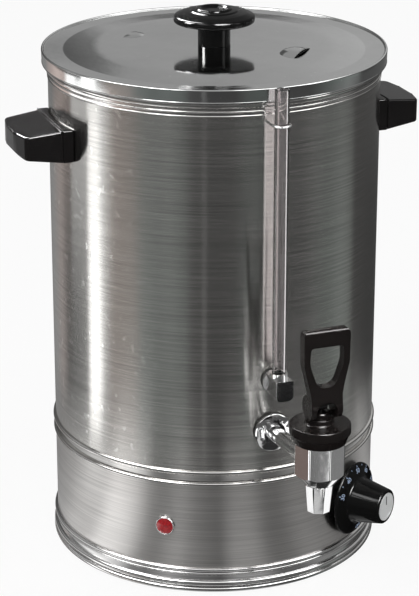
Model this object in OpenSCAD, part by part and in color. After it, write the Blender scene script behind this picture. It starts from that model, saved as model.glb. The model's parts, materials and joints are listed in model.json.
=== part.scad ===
// Hot water urn: a stainless tank on a heated base, with a lever tap, a sight gauge, two side
// handles, a thermostat, a pilot lamp and a lift-off lid.
// Millimetres. The urn stands on z = 0, the tank axis is the z axis and the tap faces -Y.
// Azimuths are degrees from the tap side towards +X.

/* [Tank and base] */
// Outer radius of the tank and base walls
body_r = 120; // [114:1:128]
// Thickness of the stainless sheet
sheet_t = 1; // [0.8:0.1:1.3]
// Height of the tank rim
rim_z = 375; // [360:1:410]
// Height of the groove between the base and the tank
seam_z = 89; // [86:1:98]
// Height of the tank floor above that groove
floor_rise = 11; // [9:1:16]
// How far the bead under the rim stands out
rim_bead = 2.4; // [1.6:0.1:2.8]
// How far the beads at the groove stand out
seam_bead = 1.8; // [1.4:0.1:2.4]
// Height of the upturned edge of the tank floor
floor_edge = 10; // [6:1:16]

/* [Foot] */
// Height of the ribbed ring around the foot
foot_h = 19.2; // [17:0.2:24]
// How far the ring stands out from the base wall
foot_out = 2.7; // [2.2:0.1:3.6]
// Width of the flange that the urn rests on
foot_flange = 12; // [9:1:18]
// Thickness of that flange
foot_t = 1.5; // [1.2:0.1:2.4]
// Thickness of the base plate
plate_t = 1; // [0.8:0.1:1.6]
// Gap from a base plate screw's middle to the flange
base_screw_gap = 5; // [4.2:0.2:8]
// Width of each bracket that holds the base plate
bracket_w = 16; // [12:1:24]

/* [Lid] */
// Depth of the lid's skirt below the rim
lid_skirt = 7.8; // [6:0.2:12]
// Radial gap between the skirt and the rim bead
lid_gap = 1; // [0.6:0.1:1.6]
// Radius of the rolled bead around the lid
lid_bead = 1.6; // [1.3:0.1:2]
// Radius of the flat middle panel of the lid
lid_panel_r = 83; // [78:1:90]
// Radius where the lid's outer band meets its slope
lid_band_r = 108.5; // [104:0.5:112]
// Height of the middle panel above the outer band
lid_dome = 2; // [1.2:0.2:4]
// Distance from the axis to the mouth of each steam louvre
louvre_r = 68; // [55:1:72]
// Width of a louvre at its mouth
louvre_w = 33; // [26:1:36]
// Height of a louvre above the panel
louvre_h = 3; // [2.4:0.2:4]
// Azimuth of the first louvre
louvre_az = 46; // [0:1:180]

/* [Lid knob] */
// Radius of the knob's cap
knob_r = 29.2; // [25:0.2:34]
// Radius of the knob's stem
knob_stem_r = 11.7; // [9:0.1:14]
// Height of the stem below the cap
knob_stem_h = 16.4; // [12:0.2:24]
// Height of the cap's straight edge
knob_edge = 4.6; // [3.6:0.2:6]
// Height of the cap's low dome above that edge
knob_dome = 5.6; // [4.6:0.2:7]

/* [Handles] */
// Width of a handle at the tank wall
handle_w = 64; // [60:1:76]
// Width of a handle at its outer end
handle_end_w = 56; // [52:1:60]
// Height of a handle's mounting pad
handle_h = 23.6; // [22:0.2:30]
// Distance from the wall to the middle of the outer face
handle_reach = 32.6; // [30:0.2:42]
// Thickness of the mounting pad at its middle
pad_t = 4; // [3.4:0.2:6]
// Depth of the handle's top below the rim
handle_drop = 41.4; // [34:0.2:80]
// Thickness of the lip in front of the fingers
handle_lip = 7; // [5.5:0.2:9]
// Radius of the bow of a handle's outer face
handle_bow = 60; // [50:1:90]
// Thickness of the grip above the fingers
handle_roof = 7; // [5:0.2:9]
// Angle from a handle's middle to each of its screws
handle_screw_az = 6.8; // [5:0.2:9]

/* [Sight gauge] */
// Outer radius of the glass tube
tube_r = 5; // [4.4:0.1:5.6]
// Wall of the glass tube
tube_wall = 1.5; // [1:0.1:1.8]
// Distance from the tank wall to the middle of the tube
tube_off = 12; // [11.5:0.1:15]
// Height of the gauge's fitting on the wall
elbow_z = 163.5; // [156:0.5:180]
// Height of the fitting's block
elbow_h = 15; // [13:0.5:18]
// Length of that block in front of the tube's middle
elbow_nose = 11.8; // [8:0.2:14]
// Height of the tube's end above the rim
tube_over = 3; // [1:0.2:6]
// Depth of the wire clip below the rim
clip_drop = 22; // [16:1:60]
// Radius of the clip's wire
clip_wire = 0.9; // [0.7:0.05:1.1]

/* [Tap] */
// Height of the tap's shank through the wall
tap_z = 124.3; // [120:0.1:132]
// Distance from the wall to the tap's vertical axis
tap_reach = 87; // [78:1:100]
// Rise of the arm from the wall to the tap's axis
tap_rise = 10.2; // [6:0.2:16]
// Radius of the arm
arm_r = 5.8; // [5.4:0.1:6.6]
// Corner radius of the eight-sided tap body
tap_corner = 18.3; // [17.4:0.1:20]
// Height of the eight-sided part above its chamfer
tap_body_h = 21.7; // [19.2:0.1:26]
// Height of the chamfer that runs down to the spout
tap_chamfer_h = 9.4; // [8:0.1:13]
// Length of the spout
spout_h = 19.8; // [14:0.2:26]
// Outer radius at the top of the spout
spout_top_r = 10.1; // [9:0.1:11]
// Outer radius at the tip of the spout
spout_tip_r = 8; // [7.2:0.1:8.8]
// Bore radius of the spout
spout_bore = 5.2; // [4:0.1:5.6]
// Radius of the water chamber
chamber_r = 12.5; // [11:0.1:13]
// Radius of the bonnet
bonnet_r = 20.9; // [19.6:0.1:23]
// Height of the bonnet
bonnet_h = 13.6; // [12.4:0.1:16]
// Radius of the round boss on the bonnet
boss_r = 9.6; // [8.6:0.1:11]
// Height of that boss
boss_h = 4.6; // [3:0.1:6]
// Radius of the valve stem
stem_r = 2.5; // [2:0.1:2.8]
// Radius of the pin through the stem and the lever
pin_r = 1.5; // [1.2:0.1:1.7]

/* [Tap lever] */
// Height of the lever above its pin
lever_h = 56.5; // [50:0.5:70]
// Width across the top of the lever
lever_w = 33.3; // [31:0.1:38]
// Width of the lever at its hub
lever_hub_w = 22.4; // [20:0.2:24]
// Thickness of the lever's plate
lever_t = 7.4; // [6.6:0.1:8.6]
// Width across the top of the finger hole
lever_hole_w = 24.6; // [20:0.2:25.4]
// Height of the finger hole
lever_hole_h = 29; // [26:0.5:32]
// Thickness of the bar above the finger hole
lever_bar = 12; // [9:0.5:14]
// Radius of the round cam at the lever's foot
cam_r = 8.7; // [7.4:0.1:10]
// Forward offset of the cam from the pin
cam_ecc = 3.8; // [2.8:0.1:3.9]

/* [Thermostat] */
// Azimuth of the thermostat knob
stat_az = 37; // [28:1:60]
// Height of the thermostat knob
stat_z = 50; // [48:1:54]
// Radius of the knob's numbered skirt
skirt_r = 27.4; // [24:0.2:28.4]
// Radius of the knob's barrel where it meets the skirt
barrel_r = 17; // [15:0.2:19]
// Radius of the knob's barrel at its end
barrel_end_r = 13; // [11.8:0.2:14.4]
// Distance from the wall to the end of the knob
stat_reach = 31; // [28:0.5:36]
// Gap between the wall and the back of the skirt
skirt_gap = 2.4; // [2.3:0.1:4]
// Radius of the silver disc in the knob's end
insert_r = 10.5; // [9:0.1:11.2]
// Radius of the thermostat's spindle
spindle_r = 3; // [2.4:0.1:3.4]

/* [Pilot lamp] */
// Azimuth of the pilot lamp
lamp_az = -37; // [-60:1:-28]
// Height of the pilot lamp
lamp_z = 51; // [44:1:60]
// Outer radius of the lamp's bezel
bezel_r = 6.5; // [6:0.1:8]
// Radius of the lamp's barrel
lamp_r = 4.9; // [4.2:0.1:5.3]

/* [Heater] */
// Radius of the heating element's ring
element_ring = 70; // [60:1:80]
// Radius of the element's sheath
element_r = 4; // [3.4:0.1:4.4]
// Height of the ring above the tank floor
element_rise = 16; // [12:1:24]
// Angle left open between the element's legs
element_gap = 40; // [30:1:60]
// Distance across the flats of the element's nuts
element_nut = 15; // [14:0.5:18]
// Thickness of those nuts
element_nut_t = 6; // [5:0.5:7]
// Length of each terminal stud below its insulator
stud_l = 7; // [6:0.5:10]

/* [Cord entry] */
// Height of the cord gland
gland_z = 32; // [28:1:40]
// Radius of the hole for the cord
gland_bore = 3.6; // [3.2:0.1:4.4]

/* [Hidden] */

$fn = 180;
fit = 0.08;         // radial clearance of a pin, screw or stem in its hole
gap = 0.3;          // clearance between pieces that move past each other
over = 1;           // how far a cutting tool passes the face it cuts

// Heights and radii that several pieces share
inner_r = body_r - sheet_t;
floor_z = seam_z + floor_rise;
floor_top = floor_z + sheet_t;
base_top = seam_z - 2;              // top edge of the base wall's full diameter
tank_low = seam_z + 3;              // lower edge of the tank wall
plate_z = foot_t;                   // underside of the base plate
plate_top = plate_z + plate_t;
base_screw_ring = body_r - foot_flange - base_screw_gap;

// Lid
lid_in_r = body_r + rim_bead + lid_gap;
lid_out_r = lid_in_r + sheet_t;
lid_band_z = rim_z + sheet_t;       // top of the lid's outer band
lid_panel_z = lid_band_z + lid_dome;
lid_skirt_z = rim_z - lid_skirt;
louvre_ball = (louvre_w * louvre_w / 4 + louvre_h * louvre_h) / (2 * louvre_h);
knob_screw_r = 2.5;
knob_washer_r = 9;
knob_washer_t = 1.2;
cap_z = lid_panel_z + knob_stem_h;  // underside of the knob's cap

// Handles
handle_top = rim_z - handle_drop;
handle_low = handle_top - handle_h;
handle_screw_r = 2.5;
handle_screw_z = handle_low + handle_h / 2;
handle_washer_r = 5.5;
handle_az = [-90, 90];

// Sight gauge
tube_y = -(body_r + tube_off);
elbow_half = tube_r + 1.4;
elbow_low = elbow_z - elbow_h / 2;
elbow_top = elbow_z + elbow_h / 2;
gauge_seal_r = tube_r + 0.7;
gauge_seal_t = 1.4;
gauge_thread = 5;
gauge_bore = 3;
tube_z = elbow_z + gauge_bore + 0.4;    // lower end of the glass
tube_top = rim_z + tube_over;
ferrule_r = tube_r + 1.3;
ferrule_top = elbow_top + 2.8;
washer_t = 1.8;                     // rubber washers on both sides of the tank wall
gauge_flange_r = 8.6;
clip_z = rim_z - clip_drop;
clip_ring = tube_r + clip_wire + fit;

// Tap
tap_y = -(body_r + tap_reach);
shank_r = 6.9;
shank_bore = 3.8;
arm_bore = 3.2;
collar_r = 14;
collar_y = body_r + washer_t;       // distance from the axis to the collar's back
arm_start = collar_y + 2;
arm_run = body_r + tap_reach - arm_start;
arm_angle = atan(tap_rise / arm_run);
tap_low = tap_z + tap_rise - 3.5;   // lower end of the eight-sided part
tap_top = tap_low + tap_body_h;
seat_z = tap_low;                   // seat of the valve
neck_r = tap_corner - 3.8;
neck_h = 8.6;
gasket_t = 1;
roof_z = tap_top + neck_h + gasket_t;   // underside of the bonnet's roof
bonnet_top = tap_top + bonnet_h;
boss_top = bonnet_top + boss_h;
pin_z = boss_top + gap + cam_r;
chamfer_z = tap_low - tap_chamfer_h;    // top of the spout
spout_z = chamfer_z - spout_h;
cup_r = 8;
cup_h = 8;
cup_z = seat_z + 0.1;
spring_r = 5.6;
spring_wire = 0.6;
spring_turns = 4;
stem_head_r = 4;
stem_head_w = 7.2;
dome_r = 7.2;                       // dome on the boss, which the stem slides through
dome_top = boss_top + 4.4;
cheek_gap = 2 * (dome_r + 0.4);     // slot between the lever's cheeks
slot_rise = stem_head_r + 1.2;
plate_y = 6.5;                      // forward offset of the lever plate's middle

// Thermostat
stat_body_w = 34;
stat_body_in = 26;                  // distance from the wall's inside to the body's back
stat_screw_x = 12;
stat_screw_r = 1.7;
stat_screw_head = 3.3;
skirt_y = body_r + skirt_gap;
knob_end_y = body_r + stat_reach;
bulb_r = 3;
bulb_l = 56;
capillary_r = 1;
capillary_bend = 6;
bulb_z = floor_z - bulb_r - fit;

// Heater, cut-out and wiring
element_z = floor_top + element_rise;
element_bush_r = 5;
bush_low = floor_z - 9;             // lower end of the element's threaded bushes
insulator_h = 4;
stud_r = 1.2;
element_flange_r = 8;
seal_t = 1.5;
cutout_r = 12;
cutout_h = 10;
cutout_y = 25;
strap_t = 1;
block_y = 74;
block_h = 14;

// Gland
gland_thread = gland_bore + 2.2;
gland_hex = 19;
gland_body_l = 6;
gland_cap_l = 13;

function unit(v) = v / norm(v);

// Arc of radius r that rounds the corner b between a and c
function corner_arc(a, b, c, r, n = 8) =
    let (u = unit(a - b), v = unit(c - b), half = acos(u * v) / 2,
         centre = b + unit(u + v) * r / sin(half), first = b + u * r / tan(half) - centre,
         start = atan2(first.y, first.x), way = cross(u, v) < 0 ? 1 : -1)
    [for (i = [0:n]) centre + r * [cos(start + way * (180 - 2 * half) * i / n),
                                   sin(start + way * (180 - 2 * half) * i / n)]];

// Outline through the points p, each corner rounded by its own radius
function rounded(p, radii) =
    let (n = len(p))
    [for (i = [0:n - 1]) each radii[i] == 0 ? [p[i]]
        : corner_arc(p[(i + n - 1) % n], p[i], p[(i + 1) % n], radii[i])];

// Distance from the axis to the wall of radius r, at x from the middle
function wall_at(r, x) = sqrt(r * r - x * x);

module turned(az) rotate([0, 0, az]) children();

// Rod that points away from the tank's axis towards -Y
module rod(from, to, r, z, x = 0)
    translate([x, -from, z]) rotate([90, 0, 0]) cylinder(h = to - from, r = r);

module hex_rod(from, to, flats, z)
    translate([0, -from, z]) rotate([90, 0, 0]) rotate([0, 0, 30])
        cylinder(h = to - from, r = flats / sqrt(3), $fn = 6);

// Children turned about the radial line at height z, drawn as radius and distance from the axis
module spun_on_wall(z)
    translate([0, 0, z]) rotate([90, 0, 0]) rotate_extrude() children();

module post(r, z0, z1) translate([0, 0, z0]) cylinder(h = z1 - z0, r = r);

// Outline drawn in the plane of y and z, w wide along x
module along_x(w) rotate([90, 0, 90]) linear_extrude(height = w, center = true) children();

// Pressed bead on the outside of the wall, and the groove that it leaves inside
module bead(z, r) translate([body_r, z]) circle(r = r);

// Rubber washer around a thread, shaped to the outside or the inside of the wall
module washer_outside(r, hole, z, t) difference() {
    rod(body_r - over, body_r + t, r, z);
    rod(body_r - 2 * over, body_r + t + over, hole, z);
    post(body_r, z - r - over, z + r + over);
}

module washer_inside(r, hole, z, t) intersection() {
    difference() {
        rod(inner_r - t, inner_r + over, r, z);
        rod(inner_r - t - over, inner_r + 2 * over, hole, z);
    }
    post(inner_r, z - r - over, z + r + over);
}

// ---------------------------------------------------------------- tank and base

module tank_shell() color("lightgray") {
    bead_1 = rim_z - 9.6;
    bead_2 = bead_1 - 4.8;
    seam_bead_z = tank_low + 2.2;
    difference() {
        rotate_extrude() difference() {
            union() {
                translate([inner_r, tank_low]) square([sheet_t, rim_z - 1 - tank_low]);
                translate([body_r - 1, rim_z - 1.8]) circle(r = 1.6);
                translate([body_r - 2, rim_z - 1.8]) square([2, 1.8]);
                bead(bead_1, rim_bead);
                bead(bead_2, 0.8);
                bead(bead_2 - 3, 0.5);
                bead(seam_bead_z, seam_bead);
            }
            bead(bead_1, rim_bead - sheet_t);
            translate([0, tank_low - over]) square([inner_r, rim_z - 5 - tank_low + over]);
        }
        rod(inner_r - over, body_r + over, shank_r + fit, tap_z);
        rod(inner_r - over, body_r + over, gauge_thread + fit, elbow_z);
        for (side = [-1, 1])
            rod(inner_r - over, body_r + over, clip_wire + fit, clip_z, side * clip_ring);
        each_handle_screw()
            rod(inner_r - over, body_r + over, handle_screw_r + fit, handle_screw_z);
    }
}

module tank_floor() color("silver") difference() {
    union() {
        post(inner_r, floor_z, floor_top);
        difference() {
            post(inner_r, floor_z, floor_z + floor_edge);
            post(inner_r - sheet_t, floor_z - over, floor_z + floor_edge + over);
        }
    }
    each_element_leg() post(element_bush_r + fit, floor_z - over, floor_top + over);
}

module base_shell() color("lightgray") {
    bead_z = base_top - 1.8;
    spigot_r = inner_r - fit;
    difference() {
        rotate_extrude() {
            difference() {
                union() {
                    translate([inner_r, foot_t]) square([sheet_t, base_top - foot_t]);
                    bead(bead_z, seam_bead - 0.2);
                }
                translate([0, foot_t - over]) square([inner_r, base_top - foot_t + over]);
            }
            translate([spigot_r - sheet_t, base_top - sheet_t])
                square([body_r - spigot_r + sheet_t, sheet_t]);
            translate([spigot_r - sheet_t, base_top - sheet_t])
                square([sheet_t, floor_z - base_top + sheet_t]);
        }
        turned(stat_az) {
            rod(inner_r - 4, body_r + over, spindle_r + 2.2 + fit, stat_z);
            for (side = [-1, 1])
                rod(inner_r - 4, body_r + over, stat_screw_r + fit, stat_z, side * stat_screw_x);
        }
        turned(lamp_az) rod(inner_r - 4, body_r + over, lamp_r + fit, lamp_z);
        turned(180) rod(inner_r - 4, body_r + over, gland_thread + fit, gland_z);
    }
}

module foot_ring() color("gray") {
    outer = body_r + foot_out;
    rib = foot_out - 0.3;
    rotate_extrude() {
        translate([body_r - foot_flange, 0]) square([foot_flange, foot_t]);
        difference() {
            union() {
                translate([body_r, 0]) square([0.7, foot_h - 1.6]);
                translate([body_r + 0.6, foot_h - 1.6]) circle(r = 1.6);
                translate([outer - 2, foot_h - 4.4]) circle(r = 1.1);
                translate([outer - rib, 7]) circle(r = rib);
                translate([outer - 2, 2.2]) circle(r = 2);
            }
            square([body_r, foot_h]);
        }
    }
}

module base_plate() color("gray") {
    slots = 9;
    slot_l = 30;
    difference() {
        post(inner_r - 0.4, plate_z, plate_top);
        each_base_screw() post(1.7 + fit, plate_z - over, plate_top + over);
        for (i = [0:slots - 1]) turned(i * 360 / slots)
            translate([-2.5, 17 - base_screw_ring, plate_z - over])
                cube([5, slot_l, plate_t + 2 * over]);
        for (side = [-1, 1])
            translate([side * 13, block_y, 0]) post(1.5 + fit, plate_z - over, plate_top + over);
    }
}

module each_base_screw() for (az = [60, 180, 300]) turned(az)
    translate([0, -base_screw_ring, 0]) children();

// Angle tabs welded inside the base wall
module base_brackets() color("silver") for (az = [60, 180, 300]) turned(az) difference() {
    intersection() {
        along_x(bracket_w) polygon([[-body_r, plate_top], [-base_screw_ring + 6, plate_top],
            [-base_screw_ring + 6, plate_top + 1.5], [1.4 - inner_r, plate_top + 1.5],
            [1.4 - inner_r, 18], [-body_r, 18]]);
        post(inner_r, 0, 20);
    }
    translate([0, -base_screw_ring, 0]) post(1.7, plate_top - over, plate_top + 1.5 + over);
}

module base_screws() color("darkgray") each_base_screw() {
    post(3, plate_z - 1.2, plate_z);
    post(1.7, plate_z, plate_top + 5);
}

// ---------------------------------------------------------------- heater and wiring

module each_element_leg() for (side = [-1, 1])
    rotate([0, 0, 90 + side * element_gap / 2]) translate([element_ring, 0, 0]) children();

module heating_element() color("dimgray") {
    rotate([0, 0, 90 + element_gap / 2]) rotate_extrude(angle = 360 - element_gap)
        translate([element_ring, element_z]) circle(r = element_r);
    each_element_leg() {
        translate([0, 0, element_z]) sphere(r = element_r);
        post(element_r, floor_top + seal_t, element_z);
        post(element_flange_r, floor_top + seal_t, floor_top + seal_t + 2);
        post(element_bush_r, bush_low, floor_top + seal_t + over);
        post(stud_r, bush_low - insulator_h - stud_l, bush_low + over);
    }
}

module element_seals() color("firebrick") each_element_leg() difference() {
    post(element_flange_r, floor_top, floor_top + seal_t);
    post(element_bush_r + fit, floor_top - over, floor_top + seal_t + over);
}

module element_nuts() color("goldenrod") each_element_leg() difference() {
    translate([0, 0, floor_z - element_nut_t])
        cylinder(h = element_nut_t, r = element_nut / sqrt(3), $fn = 6);
    post(element_bush_r, floor_z - element_nut_t - over, floor_z + over);
}

module element_insulators() color("white") each_element_leg() difference() {
    post(element_bush_r, bush_low - insulator_h, bush_low);
    post(stud_r + fit, bush_low - insulator_h - over, bush_low + over);
}

module thermal_cutout() color("tan") translate([0, cutout_y, 0]) {
    post(cutout_r, floor_z - cutout_h, floor_z);
    for (side = [-1, 1]) translate([side * 6, 0, floor_z - cutout_h - 7])
        translate([-0.4, -3, 0]) cube([0.8, 6, 7 + over]);
}

// Strap that presses the cut-out against the tank floor
module cutout_bracket() color("silver") translate([0, cutout_y, 0]) {
    low = floor_z - cutout_h - strap_t;
    rise_x = cutout_r + 1;
    difference() {
        union() {
            translate([-rise_x - strap_t, -7, low]) cube([2 * (rise_x + strap_t), 14, strap_t]);
            for (side = [-1, 1]) {
                translate([side * (rise_x + strap_t / 2) - strap_t / 2, -7, low])
                    cube([strap_t, 14, floor_z - low]);
                translate([side * (rise_x + 4) - 4, -7, floor_z - strap_t])
                    cube([8, 14, strap_t]);
            }
        }
        for (side = [-1, 1]) translate([side * 6 - 1.4, -4, low - over])
            cube([2.8, 8, strap_t + 2 * over]);
    }
}

module thermostat_body() color("ivory") turned(stat_az) difference() {
    union() {
        translate([-stat_body_w / 2, -(inner_r - 4), stat_z - stat_body_w / 2])
            cube([stat_body_w, stat_body_in - 4, stat_body_w]);
        intersection() {
            translate([-stat_body_w / 2, -body_r, stat_z - stat_body_w / 2])
                cube([stat_body_w, 5, stat_body_w]);
            post(inner_r, stat_z - stat_body_w, stat_z + stat_body_w);
        }
        rod(inner_r - 2, body_r + 1, spindle_r + 2.2, stat_z);
    }
    rod(inner_r - 18, body_r + 2, spindle_r + fit, stat_z);
    for (side = [-1, 1])
        rod(inner_r - 12, body_r, stat_screw_r, stat_z, side * stat_screw_x);
}

module thermostat_screws() color("silver") turned(stat_az) for (side = [-1, 1]) {
    seat = wall_at(body_r, stat_screw_x - stat_screw_head);
    rod(seat, seat + 1.8, stat_screw_head, stat_z, side * stat_screw_x);
    rod(inner_r - 11, seat, stat_screw_r, stat_z, side * stat_screw_x);
}

// Bulb under the tank floor, with the capillary that runs down to the thermostat
module thermostat_bulb() color("peru") turned(stat_az) {
    back_y = inner_r - stat_body_in;
    low_z = stat_z + 10;
    rise_y = back_y - 4 - capillary_bend;
    bulb_y = rise_y - capillary_bend;
    rod(bulb_y - bulb_l, bulb_y, bulb_r, bulb_z);
    rod(rise_y + capillary_bend, back_y, capillary_r, low_z);
    translate([0, -rise_y, 0])
        post(capillary_r, low_z + capillary_bend, bulb_z - capillary_bend);
    translate([0, -rise_y - capillary_bend, low_z + capillary_bend]) rotate([0, 0, 90])
        rotate([90, 0, 0]) rotate([0, 0, -90]) rotate_extrude(angle = 90)
            translate([capillary_bend, 0]) circle(r = capillary_r, $fn = 32);
    translate([0, -bulb_y, bulb_z - capillary_bend]) rotate([0, 0, 90])
        rotate([90, 0, 0]) rotate([0, 0, 90]) rotate_extrude(angle = 90)
            translate([capillary_bend, 0]) circle(r = capillary_r, $fn = 32);
}

module bulb_clip() color("silver") turned(stat_az) translate([0, -48, 0]) {
    half = bulb_r + 2 * fit;
    low = bulb_z - half - strap_t;
    translate([-half - strap_t, -5, low]) cube([2 * (half + strap_t), 10, strap_t]);
    for (side = [-1, 1]) {
        translate([side * (half + strap_t / 2) - strap_t / 2, -5, low])
            cube([strap_t, 10, floor_z - low]);
        translate([side * (half + 3) - 3, -5, floor_z - strap_t]) cube([6, 10, strap_t]);
    }
}

module terminal_block() color("ivory") translate([0, block_y, 0]) difference() {
    translate([-20, -8, plate_top]) cube([40, 16, block_h]);
    for (x = [-6.5, 0, 6.5], y = [-4.5, 4.5])
        translate([x, y, 0]) post(1.9, plate_top + block_h - 4, plate_top + block_h + over);
    for (side = [-1, 1])
        translate([side * 13, 0, 0]) post(1.5 + fit, plate_top - over, plate_top + block_h + over);
}

module terminal_screws() color("silver") translate([0, block_y, 0]) {
    for (side = [-1, 1]) translate([side * 13, 0, 0]) {
        post(2.8, plate_top + block_h, plate_top + block_h + 1.6);
        post(1.5, plate_z - 1, plate_top + block_h);
    }
}

// ---------------------------------------------------------------- pilot lamp

module lamp_bezel() color("silver") turned(lamp_az) difference() {
    spun_on_wall(lamp_z) union() {
        translate([0, body_r]) square([bezel_r, 1]);
        polygon([[0, body_r + 1], [bezel_r, body_r + 1], [bezel_r - 0.8, body_r + 2],
            [0, body_r + 2]]);
    }
    rod(body_r - over, body_r + 2 + over, lamp_r + fit, lamp_z);
}

module lamp_lens() color("darkred") turned(lamp_az) {
    front = body_r + 1;
    dome = 1.6;
    ball = (lamp_r * lamp_r + dome * dome) / (2 * dome);
    rod(front - 0.4, front + 0.8, lamp_r, lamp_z);
    intersection() {
        translate([0, -(front + 0.8 + dome - ball), lamp_z]) sphere(r = ball);
        rod(front + 0.4, front + 2 * dome, lamp_r, lamp_z);
    }
}

module lamp_body() color("ivory") turned(lamp_az) {
    rod(inner_r - 21, body_r + 0.6, lamp_r, lamp_z);
    for (side = [-1, 1]) translate([side * 2.4 - 0.4, -(inner_r - 20), lamp_z - 1.4])
        cube([0.8, 8, 2.8]);
}

module lamp_nut() color("silver") turned(lamp_az) difference() {
    seat = wall_at(inner_r, 8);
    hex_rod(seat - 3, seat, 14, lamp_z);
    rod(seat - 4, seat + over, lamp_r, lamp_z);
}

// ---------------------------------------------------------------- handles

module each_handle_screw() for (az = handle_az, side = [-1, 1])
    turned(az + side * handle_screw_az) children();

// Handle on the -Y side: a pad on the wall, a tapered grip and a finger recess from below
module handle_block() {
    pad_y = body_r + pad_t;
    end_y = body_r + handle_reach;
    corner_y = end_y - 3;
    grip_top = handle_top - 0.8;
    end_top = handle_top - 4;
    end_low = handle_low + 3.6;
    recess_y = pad_y + 5;
    difference() {
        intersection() {
            // Side view
            along_x(2 * handle_w) polygon(rounded(
                [[-body_r + 20, handle_low], [-body_r + 20, handle_top], [-pad_y, handle_top],
                 [-pad_y, grip_top], [-end_y - over, end_top], [-end_y - over, end_low],
                 [-pad_y, handle_low]],
                [0, 0, 0, 0, 2, 5, 0]));
            // Plan view
            translate([0, 0, handle_low - over]) linear_extrude(height = handle_h + 2 * over)
                polygon(rounded(
                    [[-handle_w / 2, -body_r + 20], [handle_w / 2, -body_r + 20],
                     [handle_w / 2, -pad_y], [handle_w / 2 - 1, -pad_y],
                     [handle_end_w / 2, -corner_y], [0, -end_y - 3],
                     [-handle_end_w / 2, -corner_y],
                     [-handle_w / 2 + 1, -pad_y], [-handle_w / 2, -pad_y]],
                    [0, 0, 0, 0, 4, handle_bow, 4, 0, 0]));
        }
        post(body_r, handle_low - over, handle_top + over);
        // Finger recess
        translate([-(handle_end_w / 2 - 4), -(end_y - handle_lip), handle_low - over])
            cube([handle_end_w - 8, end_y - handle_lip - recess_y,
                handle_h - handle_roof + over]);
        for (side = [-1, 1]) turned(side * handle_screw_az)
            rod(body_r - over, body_r + 7, handle_screw_r, handle_screw_z);
    }
}

module handle_left() color([0.09, 0.08, 0.08]) turned(handle_az[0]) handle_block();

module handle_right() color([0.09, 0.08, 0.08]) turned(handle_az[1]) handle_block();

module handle_washers() color("silver") each_handle_screw() {
    seat = wall_at(inner_r, handle_washer_r);
    difference() {
        rod(seat - 1, seat, handle_washer_r, handle_screw_z);
        rod(seat - 2, seat + over, handle_screw_r + fit, handle_screw_z);
    }
}

module handle_screws() color("silver") each_handle_screw() {
    seat = wall_at(inner_r, handle_washer_r) - 1;
    rod(seat - 2.6, seat, 4.4, handle_screw_z);
    rod(seat, body_r + 6.6, handle_screw_r, handle_screw_z);
}

// ---------------------------------------------------------------- sight gauge

module gauge_tube() color([0.85, 0.9, 0.92, 0.5]) translate([0, tube_y, 0]) difference() {
    post(tube_r, tube_z, tube_top);
    post(tube_r - tube_wall, tube_z - over, tube_top + over);
}

module gauge_elbow() color("silver") difference() {
    union() {
        translate([0, -body_r - washer_t - 1, 0]) rotate([90, 0, 0])
            linear_extrude(height = tube_off - washer_t - 1 + elbow_nose) polygon(rounded(
                [[-elbow_half, elbow_low], [elbow_half, elbow_low],
                 [elbow_half, elbow_top], [-elbow_half, elbow_top]], [3.4, 3.4, 1, 1]));
        rod(body_r + washer_t, body_r + washer_t + 2, gauge_flange_r, elbow_z);
        rod(inner_r - 11, body_r + washer_t + over, gauge_thread, elbow_z);
    }
    translate([0, tube_y, 0]) {
        post(gauge_seal_r + fit, elbow_top - gauge_seal_t, elbow_top + over);
        post(tube_r + fit, tube_z, elbow_top);
        post(gauge_bore, elbow_z, tube_z + over);
    }
    rod(inner_r - 12, -tube_y, gauge_bore, elbow_z);
}

// Ring on the block that keeps the seal around the glass
module gauge_ferrule() color("silver") translate([0, tube_y, 0]) difference() {
    post(ferrule_r, elbow_top, ferrule_top);
    post(tube_r + fit, elbow_top - over, ferrule_top + over);
}

module gauge_seal() color("black") translate([0, tube_y, 0]) difference() {
    post(gauge_seal_r, elbow_top - gauge_seal_t, elbow_top);
    post(tube_r, elbow_top - gauge_seal_t - over, elbow_top + over);
}

module gauge_washer_outer() color("black")
    washer_outside(gauge_flange_r, gauge_thread, elbow_z, washer_t);

module gauge_washer_inner() color("black")
    washer_inside(gauge_flange_r, gauge_thread, elbow_z, washer_t);

module gauge_nut() color("goldenrod") difference() {
    hex_rod(inner_r - washer_t - 5, inner_r - washer_t, 16, elbow_z);
    rod(inner_r - 12, inner_r, gauge_thread, elbow_z);
}

// Wire staple that holds the glass near its top
module gauge_clip() color("silver") {
    translate([0, tube_y, clip_z]) rotate([0, 0, 180]) rotate_extrude(angle = 180)
        translate([clip_ring, 0]) circle(r = clip_wire, $fn = 32);
    for (side = [-1, 1])
        rod(inner_r - 4, -tube_y, clip_wire, clip_z, side * clip_ring);
}

module clip_retainers() color("silver") for (side = [-1, 1]) {
    seat = wall_at(inner_r, clip_ring + 2.6);
    difference() {
        rod(seat - 0.8, seat, 2.6, clip_z, side * clip_ring);
        rod(seat - 2, seat + over, clip_wire, clip_z, side * clip_ring);
    }
}

// ---------------------------------------------------------------- tap

module on_tap() translate([0, tap_y, 0]) children();

// Rod along the tap's rising arm, from the collar by the given lengths
module arm_rod(from, to, r)
    translate([0, -arm_start, tap_z]) rotate([90 - arm_angle, 0, 0])
        translate([0, 0, from]) cylinder(h = to - from, r = r);

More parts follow.
